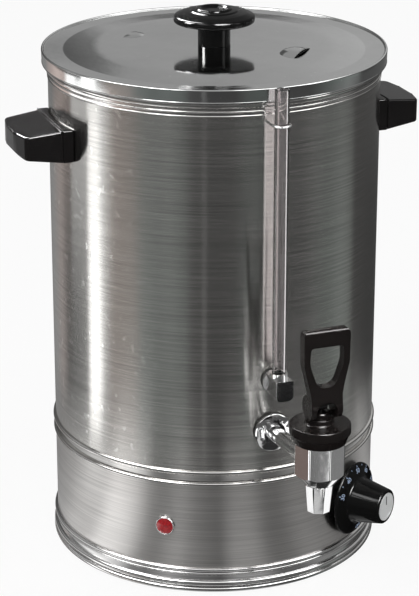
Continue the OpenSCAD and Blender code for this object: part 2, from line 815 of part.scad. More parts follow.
module tap_body() color("silver") {
    slope = atan((spout_top_r - spout_tip_r) / spout_h);
    flat = cos(22.5) + 0.006;
    round_r = tap_corner - 0.3;
    arm_l = norm([arm_run, tap_rise]);
    difference() {
        union() {
            rod(inner_r - 16, collar_y + over, shank_r, tap_z);
            spun_on_wall(tap_z) polygon([[0, collar_y], [collar_r, collar_y],
                [collar_r, collar_y + 1.6], [collar_r - 0.8, collar_y + 2.2],
                [shank_r + 1, collar_y + 4.2], [0, collar_y + 4.2]]);
            arm_rod(0, arm_l - chamber_r - 2, arm_r);
            on_tap() intersection() {
                post(tap_corner, chamfer_z - over, tap_top + over, $fn = 8);
                rotate_extrude() polygon([[0, chamfer_z], [spout_top_r - 0.4, chamfer_z],
                    [round_r, tap_low], [round_r, tap_top], [0, tap_top]]);
            }
            on_tap() post(neck_r, tap_top - over, tap_top + neck_h);
            on_tap() difference() {
                translate([0, 0, spout_z])
                    cylinder(h = spout_h + 1, r1 = spout_tip_r, r2 = spout_top_r);
                for (i = [0:7]) rotate([0, 0, 22.5 + i * 45])
                    translate([spout_tip_r * flat, 0, spout_z]) rotate([0, slope, 0])
                        translate([0, -8, -2]) cube([4, 16, spout_h + 2]);
            }
        }
        on_tap() {
            post(spout_bore, spout_z - over, seat_z + over);
            post(chamber_r, seat_z, tap_top + neck_h + over);
        }
        rod(inner_r - 17, arm_start + 1, shank_bore, tap_z);
        arm_rod(-0.5, arm_l - chamber_r + 4, arm_bore);
    }
}

module tap_washer_outer() color("black")
    washer_outside(collar_r - 1, shank_r, tap_z, washer_t);

module tap_washer_inner() color("black")
    washer_inside(collar_r - 3, shank_r, tap_z, washer_t);

module tap_lock_nut() color("goldenrod") difference() {
    hex_rod(inner_r - washer_t - 6, inner_r - washer_t, 21, tap_z);
    rod(inner_r - 12, inner_r, shank_r, tap_z);
}

module tap_bonnet() color([0.08, 0.08, 0.08]) on_tap() difference() {
    rotate_extrude() {
        polygon([[0, tap_top], [tap_corner - 0.6, tap_top], [bonnet_r - 1, tap_top + 5.8],
            [bonnet_r, tap_top + 7.2], [bonnet_r, bonnet_top - 0.9],
            [bonnet_r - 0.9, bonnet_top], [0, bonnet_top]]);
        translate([0, bonnet_top - over]) square([boss_r, boss_h + over]);
        polygon(rounded([[0, boss_top - over], [dome_r, boss_top - over],
            [dome_r, dome_top], [0, dome_top]], [0, 0, 2.6, 0]));
    }
    post(neck_r + fit, tap_top - over, roof_z);
    post(stem_r + fit, roof_z - over, dome_top + over);
}

module tap_gasket() color("white") on_tap() difference() {
    post(neck_r - fit, tap_top + neck_h, roof_z);
    post(chamber_r, tap_top + neck_h - over, roof_z + over);
}

module tap_stem() color("silver") on_tap() difference() {
    union() {
        post(stem_r, cup_z + 1, pin_z);
        translate([-stem_head_w / 2, 0, pin_z]) rotate([0, 90, 0])
            cylinder(h = stem_head_w, r = stem_head_r);
    }
    translate([-stem_head_w, 0, pin_z]) rotate([0, 90, 0])
        cylinder(h = 2 * stem_head_w, r = pin_r);
}

module tap_seat_cup() color("white") on_tap() difference() {
    union() {
        post(cup_r, cup_z, cup_z + 3);
        post(cup_r - 1.2, cup_z + 2, cup_z + cup_h);
    }
    post(stem_r, cup_z + 1, cup_z + cup_h + over);
}

// Coil spring between the seat cup and the bonnet
function spring_ring(t, length, sides) =
    let (a = 360 * spring_turns * t)
    [for (i = [0:sides - 1]) let (w = 360 * i / sides, r = spring_r + spring_wire * cos(w))
        [r * cos(a), r * sin(a), length * t + spring_wire * sin(w)]];

module tap_spring() color("silver") on_tap() {
    sides = 8;
    rings = 24 * spring_turns;
    low = cup_z + cup_h + spring_wire + 0.05;
    length = roof_z - spring_wire - 0.05 - low;
    points = [for (k = [0:rings]) each spring_ring(k / rings, length, sides)];
    skin = [for (k = [0:rings - 1], i = [0:sides - 1]) let (j = (i + 1) % sides)
        [k * sides + i, (k + 1) * sides + i, (k + 1) * sides + j, k * sides + j]];
    ends = [[for (i = [0:sides - 1]) i],
        [for (i = [sides - 1:-1:0]) rings * sides + i]];
    translate([0, 0, low]) polyhedron(points = points, faces = concat(skin, ends));
}

module tap_pivot_pin() color("silver") on_tap() translate([-lever_hub_w / 2, 0, pin_z])
    rotate([0, 90, 0]) cylinder(h = lever_hub_w, r = pin_r);

module tap_lever() color([0.08, 0.08, 0.08]) on_tap() {
    top = pin_z + lever_h;
    hole_top = top - lever_bar;
    hub = lever_hub_w / 2;
    difference() {
        intersection() {
            // Side view: the cam around the pin, and the plate that rises from it
            union() {
                translate([-lever_w, -cam_ecc, pin_z]) rotate([0, 90, 0])
                    cylinder(h = 2 * lever_w, r = cam_r);
                along_x(2 * lever_w) polygon(rounded(
                    [[-cam_ecc, pin_z], [-cam_ecc - cam_r + 0.6, pin_z + 3.2],
                     [-plate_y - lever_t / 2, pin_z + 17], [-plate_y - lever_t / 2, top],
                     [-plate_y + lever_t / 2, top], [-plate_y + lever_t / 2, pin_z]],
                    [0, 0, 30, 2.5, 2.5, 0]));
            }
            // Front view: the loop
            translate([0, 3 * cam_r, 0]) rotate([90, 0, 0])
                linear_extrude(height = 6 * cam_r) difference() {
                    polygon(rounded(
                        [[-hub, pin_z - 2 * cam_r], [-hub, pin_z + 10],
                         [-lever_w / 2 + 0.4, top - 24], [-lever_w / 2, top],
                         [lever_w / 2, top], [lever_w / 2 - 0.4, top - 24],
                         [hub, pin_z + 10], [hub, pin_z - 2 * cam_r]],
                        [0, 14, 12, 4.5, 4.5, 12, 14, 0]));
                    polygon(rounded(
                        [[-lever_hole_w / 2 + 0.8, hole_top], [lever_hole_w / 2 - 0.8, hole_top],
                         [lever_hole_w / 2, hole_top - 0.4 * lever_hole_h],
                         [lever_hole_w / 4, hole_top - lever_hole_h],
                         [-lever_hole_w / 4, hole_top - lever_hole_h],
                         [-lever_hole_w / 2, hole_top - 0.4 * lever_hole_h]],
                        [2.5, 2.5, 22, 7.5, 7.5, 22]));
                }
        }
        // Arched slot over the dome and the stem's head, open below and in front
        intersection() {
            along_x(cheek_gap + 2) intersection() {
                translate([0, pin_z]) circle(r = cam_r + cam_ecc + 0.5);
                translate([-2 * cam_r, pin_z - 2 * cam_r])
                    square([4 * cam_r, 2 * cam_r + slot_rise]);
            }
            translate([0, 2 * cam_r, 0]) rotate([90, 0, 0])
                linear_extrude(height = 4 * cam_r) polygon(rounded(
                    [[-cheek_gap / 2, pin_z - 2 * cam_r], [-cheek_gap / 2, pin_z + slot_rise],
                     [cheek_gap / 2, pin_z + slot_rise], [cheek_gap / 2, pin_z - 2 * cam_r]],
                    [0, 6.8, 6.8, 0]));
        }
        translate([-lever_w, 0, pin_z]) rotate([0, 90, 0])
            cylinder(h = 2 * lever_w, r = pin_r + fit);
    }
}

// ---------------------------------------------------------------- cord gland

module cable_gland() color([0.15, 0.15, 0.15]) turned(180) difference() {
    union() {
        hex_rod(body_r + 0.1, body_r + gland_body_l, gland_hex, gland_z);
        rod(inner_r - 10, body_r + gland_body_l + 7, gland_thread, gland_z);
    }
    rod(inner_r - 11, body_r + gland_body_l + 2, gland_bore, gland_z);
    rod(body_r + gland_body_l + 1.9, body_r + gland_body_l + 8, gland_bore + 1.2, gland_z);
}

module gland_seal() color("black") turned(180) difference() {
    front = body_r + gland_body_l;
    rod(front + 2, front + 8, gland_bore + 1.1, gland_z);
    rod(front + 1, front + 9, gland_bore, gland_z);
}

module gland_cap() color([0.15, 0.15, 0.15]) turned(180) {
    front = body_r + gland_body_l + 0.4;
    back_r = gland_thread + 2.6;
    difference() {
        spun_on_wall(gland_z) polygon([[0, front], [back_r, front],
            [back_r, front + gland_cap_l - 5], [back_r - 2.5, front + gland_cap_l],
            [0, front + gland_cap_l]]);
        rod(front - over, front + 8, gland_thread + fit, gland_z);
        rod(front, front + gland_cap_l + over, gland_bore, gland_z);
    }
}

module gland_nut() color([0.15, 0.15, 0.15]) turned(180) difference() {
    seat = wall_at(inner_r, 10.5);
    hex_rod(seat - 4, seat, 17, gland_z);
    rod(seat - 5, seat + over, gland_thread, gland_z);
}

// ---------------------------------------------------------------- thermostat knob

module thermostat_knob() color([0.07, 0.07, 0.08]) turned(stat_az) difference() {
    spun_on_wall(stat_z) polygon([[0, skirt_y], [skirt_r - 0.4, skirt_y],
        [skirt_r, skirt_y + 0.5], [skirt_r, skirt_y + 1.6], [skirt_r - 0.8, skirt_y + 2.4],
        [barrel_r + 2, skirt_y + 4.6], [barrel_r + 0.4, skirt_y + 5.4],
        [barrel_r - 0.2, skirt_y + 7], [barrel_end_r, knob_end_y - 1],
        [barrel_end_r - 1, knob_end_y], [0, knob_end_y]]);
    rod(skirt_y - over, knob_end_y - 5, spindle_r, stat_z);
    rod(knob_end_y - 1, knob_end_y + over, insert_r + fit, stat_z);
}

module knob_insert() color("silver") turned(stat_az)
    rod(knob_end_y - 1, knob_end_y + 0.3, insert_r, stat_z);

module thermostat_spindle() color("goldenrod") turned(stat_az)
    rod(inner_r - 17, knob_end_y - 5.5, spindle_r, stat_z);

// ---------------------------------------------------------------- lid

// Inward half of a ball that bulges h above the panel at the louvre
module louvre_half(r, low) intersection() {
    translate([0, -louvre_r, lid_panel_z + louvre_h - louvre_ball]) sphere(r = r);
    translate([-louvre_w, -louvre_r, low]) cube([2 * louvre_w, louvre_w, 3 * louvre_h]);
}

module lid_panel() color("lightgray") {
    knob_hole = knob_screw_r + fit;
    bead_z = rim_z + 2.2;
    difference() {
        union() {
            rotate_extrude() {
                translate([lid_in_r, lid_skirt_z]) square([sheet_t, bead_z - lid_skirt_z]);
                translate([lid_out_r - 0.8, lid_skirt_z + 0.7]) circle(r = 0.7);
                translate([lid_out_r - lid_bead, bead_z]) circle(r = lid_bead);
                polygon([[0, lid_panel_z - sheet_t], [lid_panel_r, lid_panel_z - sheet_t],
                    [lid_band_r, rim_z], [lid_out_r - lid_bead, rim_z],
                    [lid_out_r - lid_bead, lid_band_z], [lid_band_r, lid_band_z],
                    [lid_panel_r, lid_panel_z], [0, lid_panel_z]]);
            }
            each_louvre() louvre_half(louvre_ball, lid_panel_z - sheet_t / 2);
        }
        each_louvre() louvre_half(louvre_ball - sheet_t, lid_panel_z - 2 * sheet_t);
        post(knob_hole, lid_panel_z - 2 * sheet_t, lid_panel_z + sheet_t);
    }
}

module each_louvre() for (az = [louvre_az, louvre_az + 180]) turned(az) children();

module lid_knob() color([0.07, 0.07, 0.07]) {
    edge_top = cap_z + knob_edge;
    top = edge_top + knob_dome;
    difference() {
        rotate_extrude() {
            polygon([[0, lid_panel_z], [knob_stem_r, lid_panel_z], [knob_stem_r, cap_z],
                [knob_r - 0.8, cap_z + 0.2], [knob_r, cap_z + 1.2], [knob_r, edge_top - 0.6],
                [knob_r - 0.6, edge_top + 0.2], [knob_r - 3, edge_top + 1.9],
                [knob_r * 0.68, edge_top + 3.6], [knob_r * 0.62, edge_top + 3.5],
                [knob_r * 0.56, edge_top + 4.2], [knob_r * 0.34, top - 0.3], [0, top]]);
        }
        post(knob_screw_r, lid_panel_z - over, lid_panel_z + 13);
    }
}

module lid_knob_washer() color("silver") difference() {
    low = lid_panel_z - sheet_t - knob_washer_t;
    post(knob_washer_r, low, low + knob_washer_t);
    post(knob_screw_r + fit, low - over, low + knob_washer_t + over);
}

module lid_knob_screw() color("silver") {
    seat = lid_panel_z - sheet_t - knob_washer_t;
    post(4.6, seat - 2.8, seat);
    post(knob_screw_r, seat, lid_panel_z + 12);
}

tank_shell();
tank_floor();
base_shell();
foot_ring();
base_plate();
base_brackets();
base_screws();
heating_element();
element_nuts();
element_seals();
element_insulators();
thermal_cutout();
cutout_bracket();
thermostat_body();
thermostat_screws();
thermostat_bulb();
bulb_clip();
terminal_block();
terminal_screws();
lamp_bezel();
lamp_lens();
lamp_body();
lamp_nut();
handle_left();
handle_right();
handle_screws();
handle_washers();
gauge_tube();
gauge_elbow();
gauge_ferrule();
gauge_seal();
gauge_washer_outer();
gauge_washer_inner();
gauge_nut();
gauge_clip();
clip_retainers();
tap_body();
tap_washer_outer();
tap_washer_inner();
tap_lock_nut();
tap_bonnet();
tap_gasket();
tap_stem();
tap_seat_cup();
tap_spring();
tap_pivot_pin();
tap_lever();
cable_gland();
gland_cap();
gland_seal();
gland_nut();
thermostat_knob();
knob_insert();
thermostat_spindle();
lid_panel();
lid_knob();
lid_knob_screw();
lid_knob_washer();
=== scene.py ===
# %% [markdown]
# # A hot water urn
# This lesson dresses a hot water urn: a brushed steel tank on a satin steel base, with a
# chrome tap, a glass level gauge and black plastic handles and knobs. The solid model comes
# in first and stays as it is. Steel shells and mouldings are then built again as finer meshes
# in the same places, because metal shows every flat of a coarse mesh in its reflections.

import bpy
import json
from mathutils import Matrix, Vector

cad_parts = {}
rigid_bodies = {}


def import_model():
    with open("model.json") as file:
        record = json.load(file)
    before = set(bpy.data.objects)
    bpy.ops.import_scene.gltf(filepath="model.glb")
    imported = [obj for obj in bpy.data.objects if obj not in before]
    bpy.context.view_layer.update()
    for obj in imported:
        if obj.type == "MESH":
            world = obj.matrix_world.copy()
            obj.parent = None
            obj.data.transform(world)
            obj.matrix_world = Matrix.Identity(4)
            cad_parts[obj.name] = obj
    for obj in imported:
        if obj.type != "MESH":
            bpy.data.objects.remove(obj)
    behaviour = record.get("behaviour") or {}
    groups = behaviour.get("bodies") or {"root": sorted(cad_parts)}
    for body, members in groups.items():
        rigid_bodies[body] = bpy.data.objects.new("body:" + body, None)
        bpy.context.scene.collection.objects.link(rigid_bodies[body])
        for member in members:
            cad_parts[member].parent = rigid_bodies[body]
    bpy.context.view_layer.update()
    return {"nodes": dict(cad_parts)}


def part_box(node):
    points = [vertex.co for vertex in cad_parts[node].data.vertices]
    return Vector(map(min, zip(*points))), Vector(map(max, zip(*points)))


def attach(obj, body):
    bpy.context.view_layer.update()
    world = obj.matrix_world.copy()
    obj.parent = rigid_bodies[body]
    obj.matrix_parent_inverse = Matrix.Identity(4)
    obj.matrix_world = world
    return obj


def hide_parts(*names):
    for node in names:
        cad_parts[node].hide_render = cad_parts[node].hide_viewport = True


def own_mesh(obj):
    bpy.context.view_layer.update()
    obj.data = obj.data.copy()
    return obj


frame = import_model()

# %% [markdown]
# ## Sizes
# The solid model already has every size, so this file asks it where things are and writes a
# number only for what the model doesn't say. Lengths are millimetres, as in an urn's drawing,
# and turn into Blender's metres where a mesh is made.

# %% Sizes read from the model
import json
import math

import bmesh
import bpy
from mathutils import Matrix, Vector


def span(node):
    """Lowest and highest corner of a solid, in millimetres."""
    low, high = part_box(node)
    return low * 1000, high * 1000


foot_high = span("foot_ring")[1]
tank_low, tank_high = span("tank_shell")
base_low, base_high = span("base_shell")
lid_low, lid_high = span("lid_panel")
WALL = 120.0                     # radius of the tank and of the base
SHEET = 1.0                      # thickness of the steel
RIM = tank_high.z
TAP_Y = -(WALL + 87.0)           # upright axis of the tap, which stands out to the front
TUBE_Y = -(WALL + 12.0)          # axis of the gauge's glass
STAT_AZ, STAT_Z = 37.0, 50.0     # thermostat: degrees round from the tap, and height
LAMP_AZ, LAMP_Z = -37.0, 51.0    # pilot lamp, on the tap's other side
print("rim at", round(RIM, 1), "mm, foot", round(foot_high.x * 2, 1), "mm across")

# %% [markdown]
# ## Shader maths that reads like maths
# A material in Blender is a graph, and a sum in it takes a node and two links. Wiring them by
# hand would hide the idea. This small class wraps a socket, so that `grain * 0.3 + 0.2` or `1
# - mask` adds the Math nodes by itself.

# %% A socket that can be used in an expression


class Signal:
    """An output socket that adds, subtracts and multiplies, on either side of a number."""

    def __init__(self, graph, socket):
        self.graph, self.socket = graph, socket

    def maths(self, operation, *values):
        return self.graph.node("ShaderNodeMath", {"operation": operation},
                               dict(enumerate(values)))

    def __add__(self, other):
        return self.maths("ADD", self, other)

    def __sub__(self, other):
        return self.maths("SUBTRACT", self, other)

    def __rsub__(self, other):
        return self.maths("SUBTRACT", other, self)

    def __mul__(self, other):
        return self.maths("MULTIPLY", self, other)

    __radd__, __rmul__ = __add__, __mul__

    def between(self, low, high):
        """0 at low, 1 at high, and a straight line from one to the other."""
        return self.graph.node("ShaderNodeMapRange", {"clamp": True},
                               {"Value": self, "From Min": low, "From Max": high})


print("a socket knows +, - and *")

# %% [markdown]
# ## One way to add a node
# Every node comes from one method, `node`, which takes its kind, its settings and the values
# or links of its sockets. A material then adds the few steps that most finishes share.
# Colours go through its Mix nodes, because a Math node would turn them grey.

# %% Graphs and materials


class Graph:
    """The nodes of a material or of the sky, with one method that adds any node."""

    def __init__(self, tree):
        self.tree = tree

    def node(self, kind, settings=None, inputs=None, output=0):
        """Adds a node with its settings, constants and links, and gives one of its outputs."""
        made = self.tree.nodes.new(kind)
        for name, value in (settings or {}).items():
            if name == "stops":
                ramp = made.color_ramp
                for stop, (place, colour) in zip(ramp.elements, (value[0], value[-1])):
                    stop.position, stop.color = place, colour
                for place, colour in value[1:-1]:
                    ramp.elements.new(place).color = colour
            else:
                setattr(made, name, value)
        for name, value in (inputs or {}).items():
            if isinstance(value, Signal):
                self.tree.links.new(value.socket, made.inputs[name])
            else:
                made.inputs[name].default_value = value
        return Signal(self, made.outputs[output])


class Finish(Graph):
    """A material, with the steps that most finishes share."""

    def __init__(self, name, **constants):
        self.material = bpy.data.materials.new(name)
        self.material.use_nodes = True
        super().__init__(self.material.node_tree)
        self.shader = self.tree.nodes["Principled BSDF"]
        for socket, value in constants.items():
            self.shader.inputs[socket.replace("_", " ")].default_value = value

    def drive(self, socket, signal):
        """Links a signal to a socket of the material's shader."""
        self.tree.links.new(signal.socket, self.shader.inputs[socket])

    def surface(self, signal):
        """Shows another shader in place of the material's own."""
        self.tree.links.new(signal.socket, self.tree.nodes["Material Output"].inputs["Surface"])

    def place(self, x=1.0, y=1.0, z=1.0):
        """Object coordinates, stretched by a factor along each axis."""
        here = self.node("ShaderNodeTexCoord", output="Object")
        return self.node("ShaderNodeVectorMath", {"operation": "MULTIPLY"},
                         {0: here, 1: (x, y, z)})

    def noise(self, where, detail=2.0, roughness=0.5):
        return self.node("ShaderNodeTexNoise", {}, {
            "Vector": where, "Scale": 1.0, "Detail": detail, "Roughness": roughness})

    def colours(self, factor, first, second, blend="MIX"):
        return self.node("ShaderNodeMix", {"data_type": "RGBA", "blend_type": blend},
                         {0: factor, 6: first, 7: second}, output=2)

    def bump(self, height, strength, distance):
        self.drive("Normal", self.node(
            "ShaderNodeBump", {},
            {"Height": height, "Strength": strength, "Distance": distance}))


print("steps of a material:", [step for step in vars(Finish) if not step.startswith("_")])

# %% [markdown]
# ## Brushed steel
# The tank is polished with a belt that runs round it, which leaves fine level lines and
# stretches each highlight up and down. A picture of scratches wrapped round the wall would
# repeat and show a seam. Noise squeezed hard along z does neither, and the shader's
# anisotropy, turned by a quarter so that it works across the lines, does the stretching.
# Faint smears and nicks break the evenness, and one side has small dents. The nicks and dents are
# also lightened towards near white, which paints glints on them.

# %% Steel finishes
KNOCKED_SIDE = (-0.94, 0.35, 0.0)
DENTS_FROM, DENTS_FULL = 0.03, 0.07     # metres from the middle, towards that side


def rgb(red, green, blue):
    return (red, green, blue, 1.0)


def shade(tint, factor=1.0, more=0.0):
    """A tint as a colour, made darker or lighter."""
    return rgb(*(min(1.0, c * factor + more) for c in tint))


def steel(name, tint, rough, spread, lines, nicks_and_glints=0.0, dents_and_glints=0.0):
    """Steel brushed round the z axis: spread is its anisotropy, lines how deep the brushing is."""
    f = Finish(name, Metallic=1.0, Anisotropic=spread, Anisotropic_Rotation=0.25)
    coarse = f.noise(f.place(12, 12, 1100), detail=3)
    fine = f.noise(f.place(25, 25, 3600), detail=2)
    smear = f.noise(f.place(9, 9, 5), detail=4, roughness=0.6)
    brushing = coarse * 0.6 + fine * 0.4
    nick_and_glint = f.noise(f.place(900, 900, 520), detail=1).between(0.70, 0.78) * nicks_and_glints
    aside = f.node("ShaderNodeVectorMath", {"operation": "DOT_PRODUCT"},
                   {0: f.place(), 1: KNOCKED_SIDE}, output=1)
    worn = aside.between(DENTS_FROM, DENTS_FULL)
    dent_and_glint = f.noise(f.place(170, 170, 130), detail=1).between(0.66, 0.72) * worn * dents_and_glints
    body = f.colours(brushing.between(0.3, 0.7), shade(tint, 0.80), shade(tint, 1.22))
    # Nicks and dents are real marks in the bump; lightening them towards near white paints glints
    # on them.
    f.drive("Base Color", f.colours(nick_and_glint + dent_and_glint * 0.4, body, rgb(0.9, 0.9, 0.88)))
    f.drive("Roughness", (brushing - 0.5) * 0.06 + (smear - 0.5) * 0.07 + rough)
    f.bump(brushing + nick_and_glint * 0.6 + dent_and_glint * 9, lines, 0.00002)
    return f.material


tank_steel = steel("brushed_tank_steel", (0.56, 0.55, 0.53), 0.19, 0.94, 0.12, nicks_and_glints=0.5,
                   dents_and_glints=1.0)
base_steel = steel("satin_base_steel", (0.60, 0.585, 0.57), 0.30, 0.6, 0.15, nicks_and_glints=0.2)
trim_steel = steel("foot_ring_steel", (0.62, 0.615, 0.61), 0.13, 0.1, 0.1, nicks_and_glints=0.2)
bead_steel = steel("burnished_bead_steel", (0.60, 0.59, 0.575), 0.12, 0.1, 0.1, nicks_and_glints=0.3)
inner_steel = steel("plain_inner_steel", (0.58, 0.58, 0.57), 0.38, 0.2, 0.1)
print("steel finishes made")

# %% [markdown]
# ## The lid's steel
# The lid has a plain satin finish with no one direction. The tank's recipe would draw lines
# across it, and one even roughness would look like painted card. So it gets a soft cloud of
# roughness, a very fine grain, and a few bright specks where it has been handled.

# %% Lid finish
f = Finish("satin_lid_steel", Metallic=1.0)
tint = (0.58, 0.585, 0.58)
cloud = f.noise(f.place(14, 14, 14), detail=5, roughness=0.6)
sand = f.noise(f.place(1500, 1500, 1500), detail=2)
speck = f.noise(f.place(420, 420, 420), detail=1).between(0.74, 0.80)
body = f.colours(cloud.between(0.3, 0.7), shade(tint, 0.90), shade(tint, 1.06))
f.drive("Base Color", f.colours(speck * 0.5, body, rgb(0.9, 0.9, 0.9)))
f.drive("Roughness", (cloud - 0.5) * 0.06 + (sand - 0.5) * 0.04 + 0.085)
f.bump(cloud + sand * 0.03, 0.2, 0.0012)
lid_steel = f.material
print("lid finish made")

# %% [markdown]
# ## Chrome, brass and other bright metals
# The tap is a plated brass casting, and plating shows the casting below it: long shallow
# waves that bend the reflections, and tiny pits. The mesh could carry the waves, but it would
# need far smaller faces, so a bump does it. Small fittings use the same recipe in other
# tints.

# %% Plated and machined metals


def plated(name, tint, rough, wave, metal=1.0):
    """Bright metal over a casting: wave is how uneven the casting is."""
    f = Finish(name, Metallic=metal)
    casting = f.noise(f.place(70, 70, 70), detail=2)
    pit = f.noise(f.place(1300, 1300, 1300), detail=1).between(0.70, 0.80)
    haze = f.noise(f.place(40, 40, 40), detail=4)
    f.drive("Base Color", f.colours(pit * 0.4, shade(tint), shade(tint, 0.45)))
    f.drive("Roughness", haze.between(0.35, 0.75) * 0.08 + rough + pit * 0.2)
    f.bump(casting - pit * 0.02, wave, 0.0006)
    return f.material


chrome = plated("bright_chrome", (0.80, 0.80, 0.80), 0.06, 0.25)
screw_steel = plated("screw_steel", (0.62, 0.62, 0.62), 0.28, 0.1)
brass = plated("machined_brass", (0.72, 0.53, 0.26), 0.25, 0.1)
copper = plated("copper_tube", (0.72, 0.42, 0.28), 0.3, 0.1)
silver = plated("silver_disc", (0.86, 0.87, 0.87), 0.40, 0.1, metal=0.35)
print("plated finishes made")

# %% [markdown]
# ## Plastics and rubber
# Handles and knobs come glossy out of the mould, but their skin is never flat: it has a faint
# ripple, and handling leaves dull patches and a little dust. Wear could be painted as colour,
# but black hides a change of colour, so here it is mostly roughness. The tap's lever and
# bonnet are the dullest of the blacks.

# %% Moulded and soft finishes


def moulded(name, tint, rough, ripple, dust=0.03, gloss=0.5):
    """Plastic, rubber or ceramic from a mould, with a rippled skin and a little dust."""
    f = Finish(name, IOR=1.47, Specular_IOR_Level=gloss)
    orange_peel = f.noise(f.place(350, 350, 350), detail=2)
    handled = f.noise(f.place(45, 45, 45), detail=4, roughness=0.6)
    fleck = f.noise(f.place(800, 800, 800), detail=1).between(0.72, 0.8)
    f.drive("Base Color", f.colours(fleck * dust * 6 + handled * dust,
                                    shade(tint), shade(tint, more=0.10)))
    f.drive("Roughness", handled.between(0.4, 0.75) * 0.10 + rough)
    f.bump(orange_peel, ripple, 0.00008)
    return f.material


black = moulded("black_resin", (0.009, 0.008, 0.008), 0.14, 0.10, 0.01, 0.25)
lever_black = moulded("worn_black_resin", (0.010, 0.008, 0.0075), 0.21, 0.08, 0.01, 0.2)
knob_black = moulded("polished_black_resin", (0.007, 0.007, 0.007), 0.08, 0.05, 0.008, 0.2)
ivory = moulded("ivory_moulding", (0.72, 0.68, 0.56), 0.42, 0.2)
ceramic = moulded("fired_ceramic", (0.82, 0.80, 0.74), 0.5, 0.3)
rubber = moulded("black_rubber", (0.02, 0.02, 0.02), 0.6, 0.4, 0.06)
silicone = moulded("white_silicone", (0.72, 0.71, 0.66), 0.45, 0.2)
red_rubber = moulded("red_silicone", (0.34, 0.06, 0.04), 0.5, 0.2)
print("moulded finishes made")

# %% [markdown]
# ## Dark sheath and zinc
# Two metals under the tank are used once each, so they are written out and not made by a
# function. The heating element's sheath oxidises in use, and a ramp over slow noise gives its
# straw and blue tints. The base plate is zinc coated, and zinc sets in flat crystals, which
# are what a Voronoi texture draws.

# %% Sheath and zinc
f = Finish("oxidised_sheath", Metallic=1.0)
heat = f.noise(f.place(30, 30, 30), detail=3)
straw_and_blue = [(0.3, rgb(0.16, 0.15, 0.15)), (0.5, rgb(0.30, 0.25, 0.18)),
                  (0.7, rgb(0.16, 0.18, 0.25))]
f.drive("Base Color", f.node("ShaderNodeValToRGB", {"stops": straw_and_blue}, {"Fac": heat}))
f.drive("Roughness", heat * 0.2 + 0.32)
sheath = f.material

f = Finish("zinc_coating", Metallic=0.8)
spangle = f.node("ShaderNodeTexVoronoi", {"feature": "F1"},
                 {"Vector": f.place(), "Scale": 170.0}, output=1)
f.drive("Base Color", f.colours(0.25, rgb(0.50, 0.51, 0.53), spangle, "SOFT_LIGHT"))
f.drive("Roughness", f.noise(f.place(60, 60, 60)) * 0.2 + 0.38)
zinc = f.material
print("sheath and zinc made")

# %% [markdown]
# ## Print, lamp and glass
# The dial's print is a pale paint, a little worn. The lamp's lens is dyed resin: clear red glass
# would show an empty hole behind it, so small cells stand for the facets inside, in its bump and
# as painted shading in its colour, lighter in each cell's middle and darker at its edge. The gauge
# is a clear tube, and long thin streaks in it are the lines left by drawing.

# %% Print, lens and glass
f = Finish("dial_print", IOR=1.45)
worn = f.noise(f.place(900, 900, 900), detail=2)
f.drive("Base Color", f.colours(worn.between(0.55, 0.75), rgb(0.55, 0.68, 0.92),
                                rgb(0.28, 0.38, 0.58)))
f.drive("Roughness", worn * 0.2 + 0.4)
dial_print = f.material

f = Finish("red_lamp_lens", IOR=1.5, Coat_Weight=0.6)
cells = f.node("ShaderNodeTexVoronoi", {"feature": "F1"}, {"Vector": f.place(), "Scale": 700.0})
# Each cell is lighter in its middle and darker at its edge: painted shading of the facets inside
# the lens.
f.drive("Base Color", f.colours(cells.between(0.0, 0.8), rgb(0.47, 0.014, 0.02),
                                rgb(0.26, 0.008, 0.012)))
f.drive("Roughness", cells * 0.1 + 0.12)
f.bump(cells, 0.3, 0.0003)
red_lens = f.material

f = Finish("gauge_glass", IOR=1.47, Transmission_Weight=1.0)
streaks = f.noise(f.place(1500, 1500, 4), detail=2)
f.drive("Base Color", f.colours(streaks.between(0.4, 0.7), rgb(0.97, 0.95, 0.95),
                                rgb(0.80, 0.74, 0.75)))
f.drive("Roughness", streaks * 0.06 + 0.02)
f.bump(streaks, 0.1, 0.0002)
glass = f.material
print("print, lens and glass made")

# %% [markdown]
# ## Rounded outlines
# Most of an urn is round, so most of this file is outlines: lists of radius and height, where
# a corner may name a radius that rounds it. A bevel modifier could round a turned mesh, but
# it would treat every corner alike, and on metal each corner draws a line of its own.

# %% Rounding an outline


def eased(points, steps=5):
    """Rounds each corner of a closed outline given as (r, z) or (r, z, corner radius)."""
    out = []
    n = len(points)
    for i, point in enumerate(points):
        here = Vector(point[:2])
        radius = point[2] if len(point) > 2 else 0
        if not radius:
            out.append(here)
            continue
        a = Vector(points[i - 1][:2]) - here
        b = Vector(points[(i + 1) % n][:2]) - here
        half = a.angle(b) / 2
        reach = min(radius / math.tan(half), a.length * 0.49, b.length * 0.49)
        radius = reach * math.tan(half)
        a.normalize()
        b.normalize()
        middle = here + (a + b).normalized() * radius / math.sin(half)
        first, last = here + a * reach - middle, here + b * reach - middle
        sweep = math.atan2(first.x * last.y - first.y * last.x, first.dot(last))
        for k in range(steps + 1):
            turn = Matrix.Rotation(sweep * k / steps, 2)
            out.append(middle + turn @ first)
    return [(p.x, p.y) for p in out]


print("a rounded square has", len(eased([(1, 0, 1), (9, 0, 1), (9, 8, 1), (1, 8, 1)])), "points")

# %% [markdown]
# ## From points to a piece of the urn
# A mesh becomes visible once an object in the scene holds it. Then a piece of the urn is shaded
# smooth, except at real edges, and is told which moving body it rides on. Doing this in one helper
# means that no piece can miss a step.

# %% Mesh helpers


def linked(name, data):
    """An object for a mesh, letters, a lamp or a camera, put into the scene."""
    made = bpy.data.objects.new(name, data)
    bpy.context.scene.collection.objects.link(made)
    return made


def new_object(name, verts, faces, finish):
    """A mesh from vertices in metres, as an object."""
    mesh = bpy.data.meshes.new(name)
    mesh.from_pydata(verts, [], faces)
    mesh.materials.append(finish)
    return linked(name, mesh)


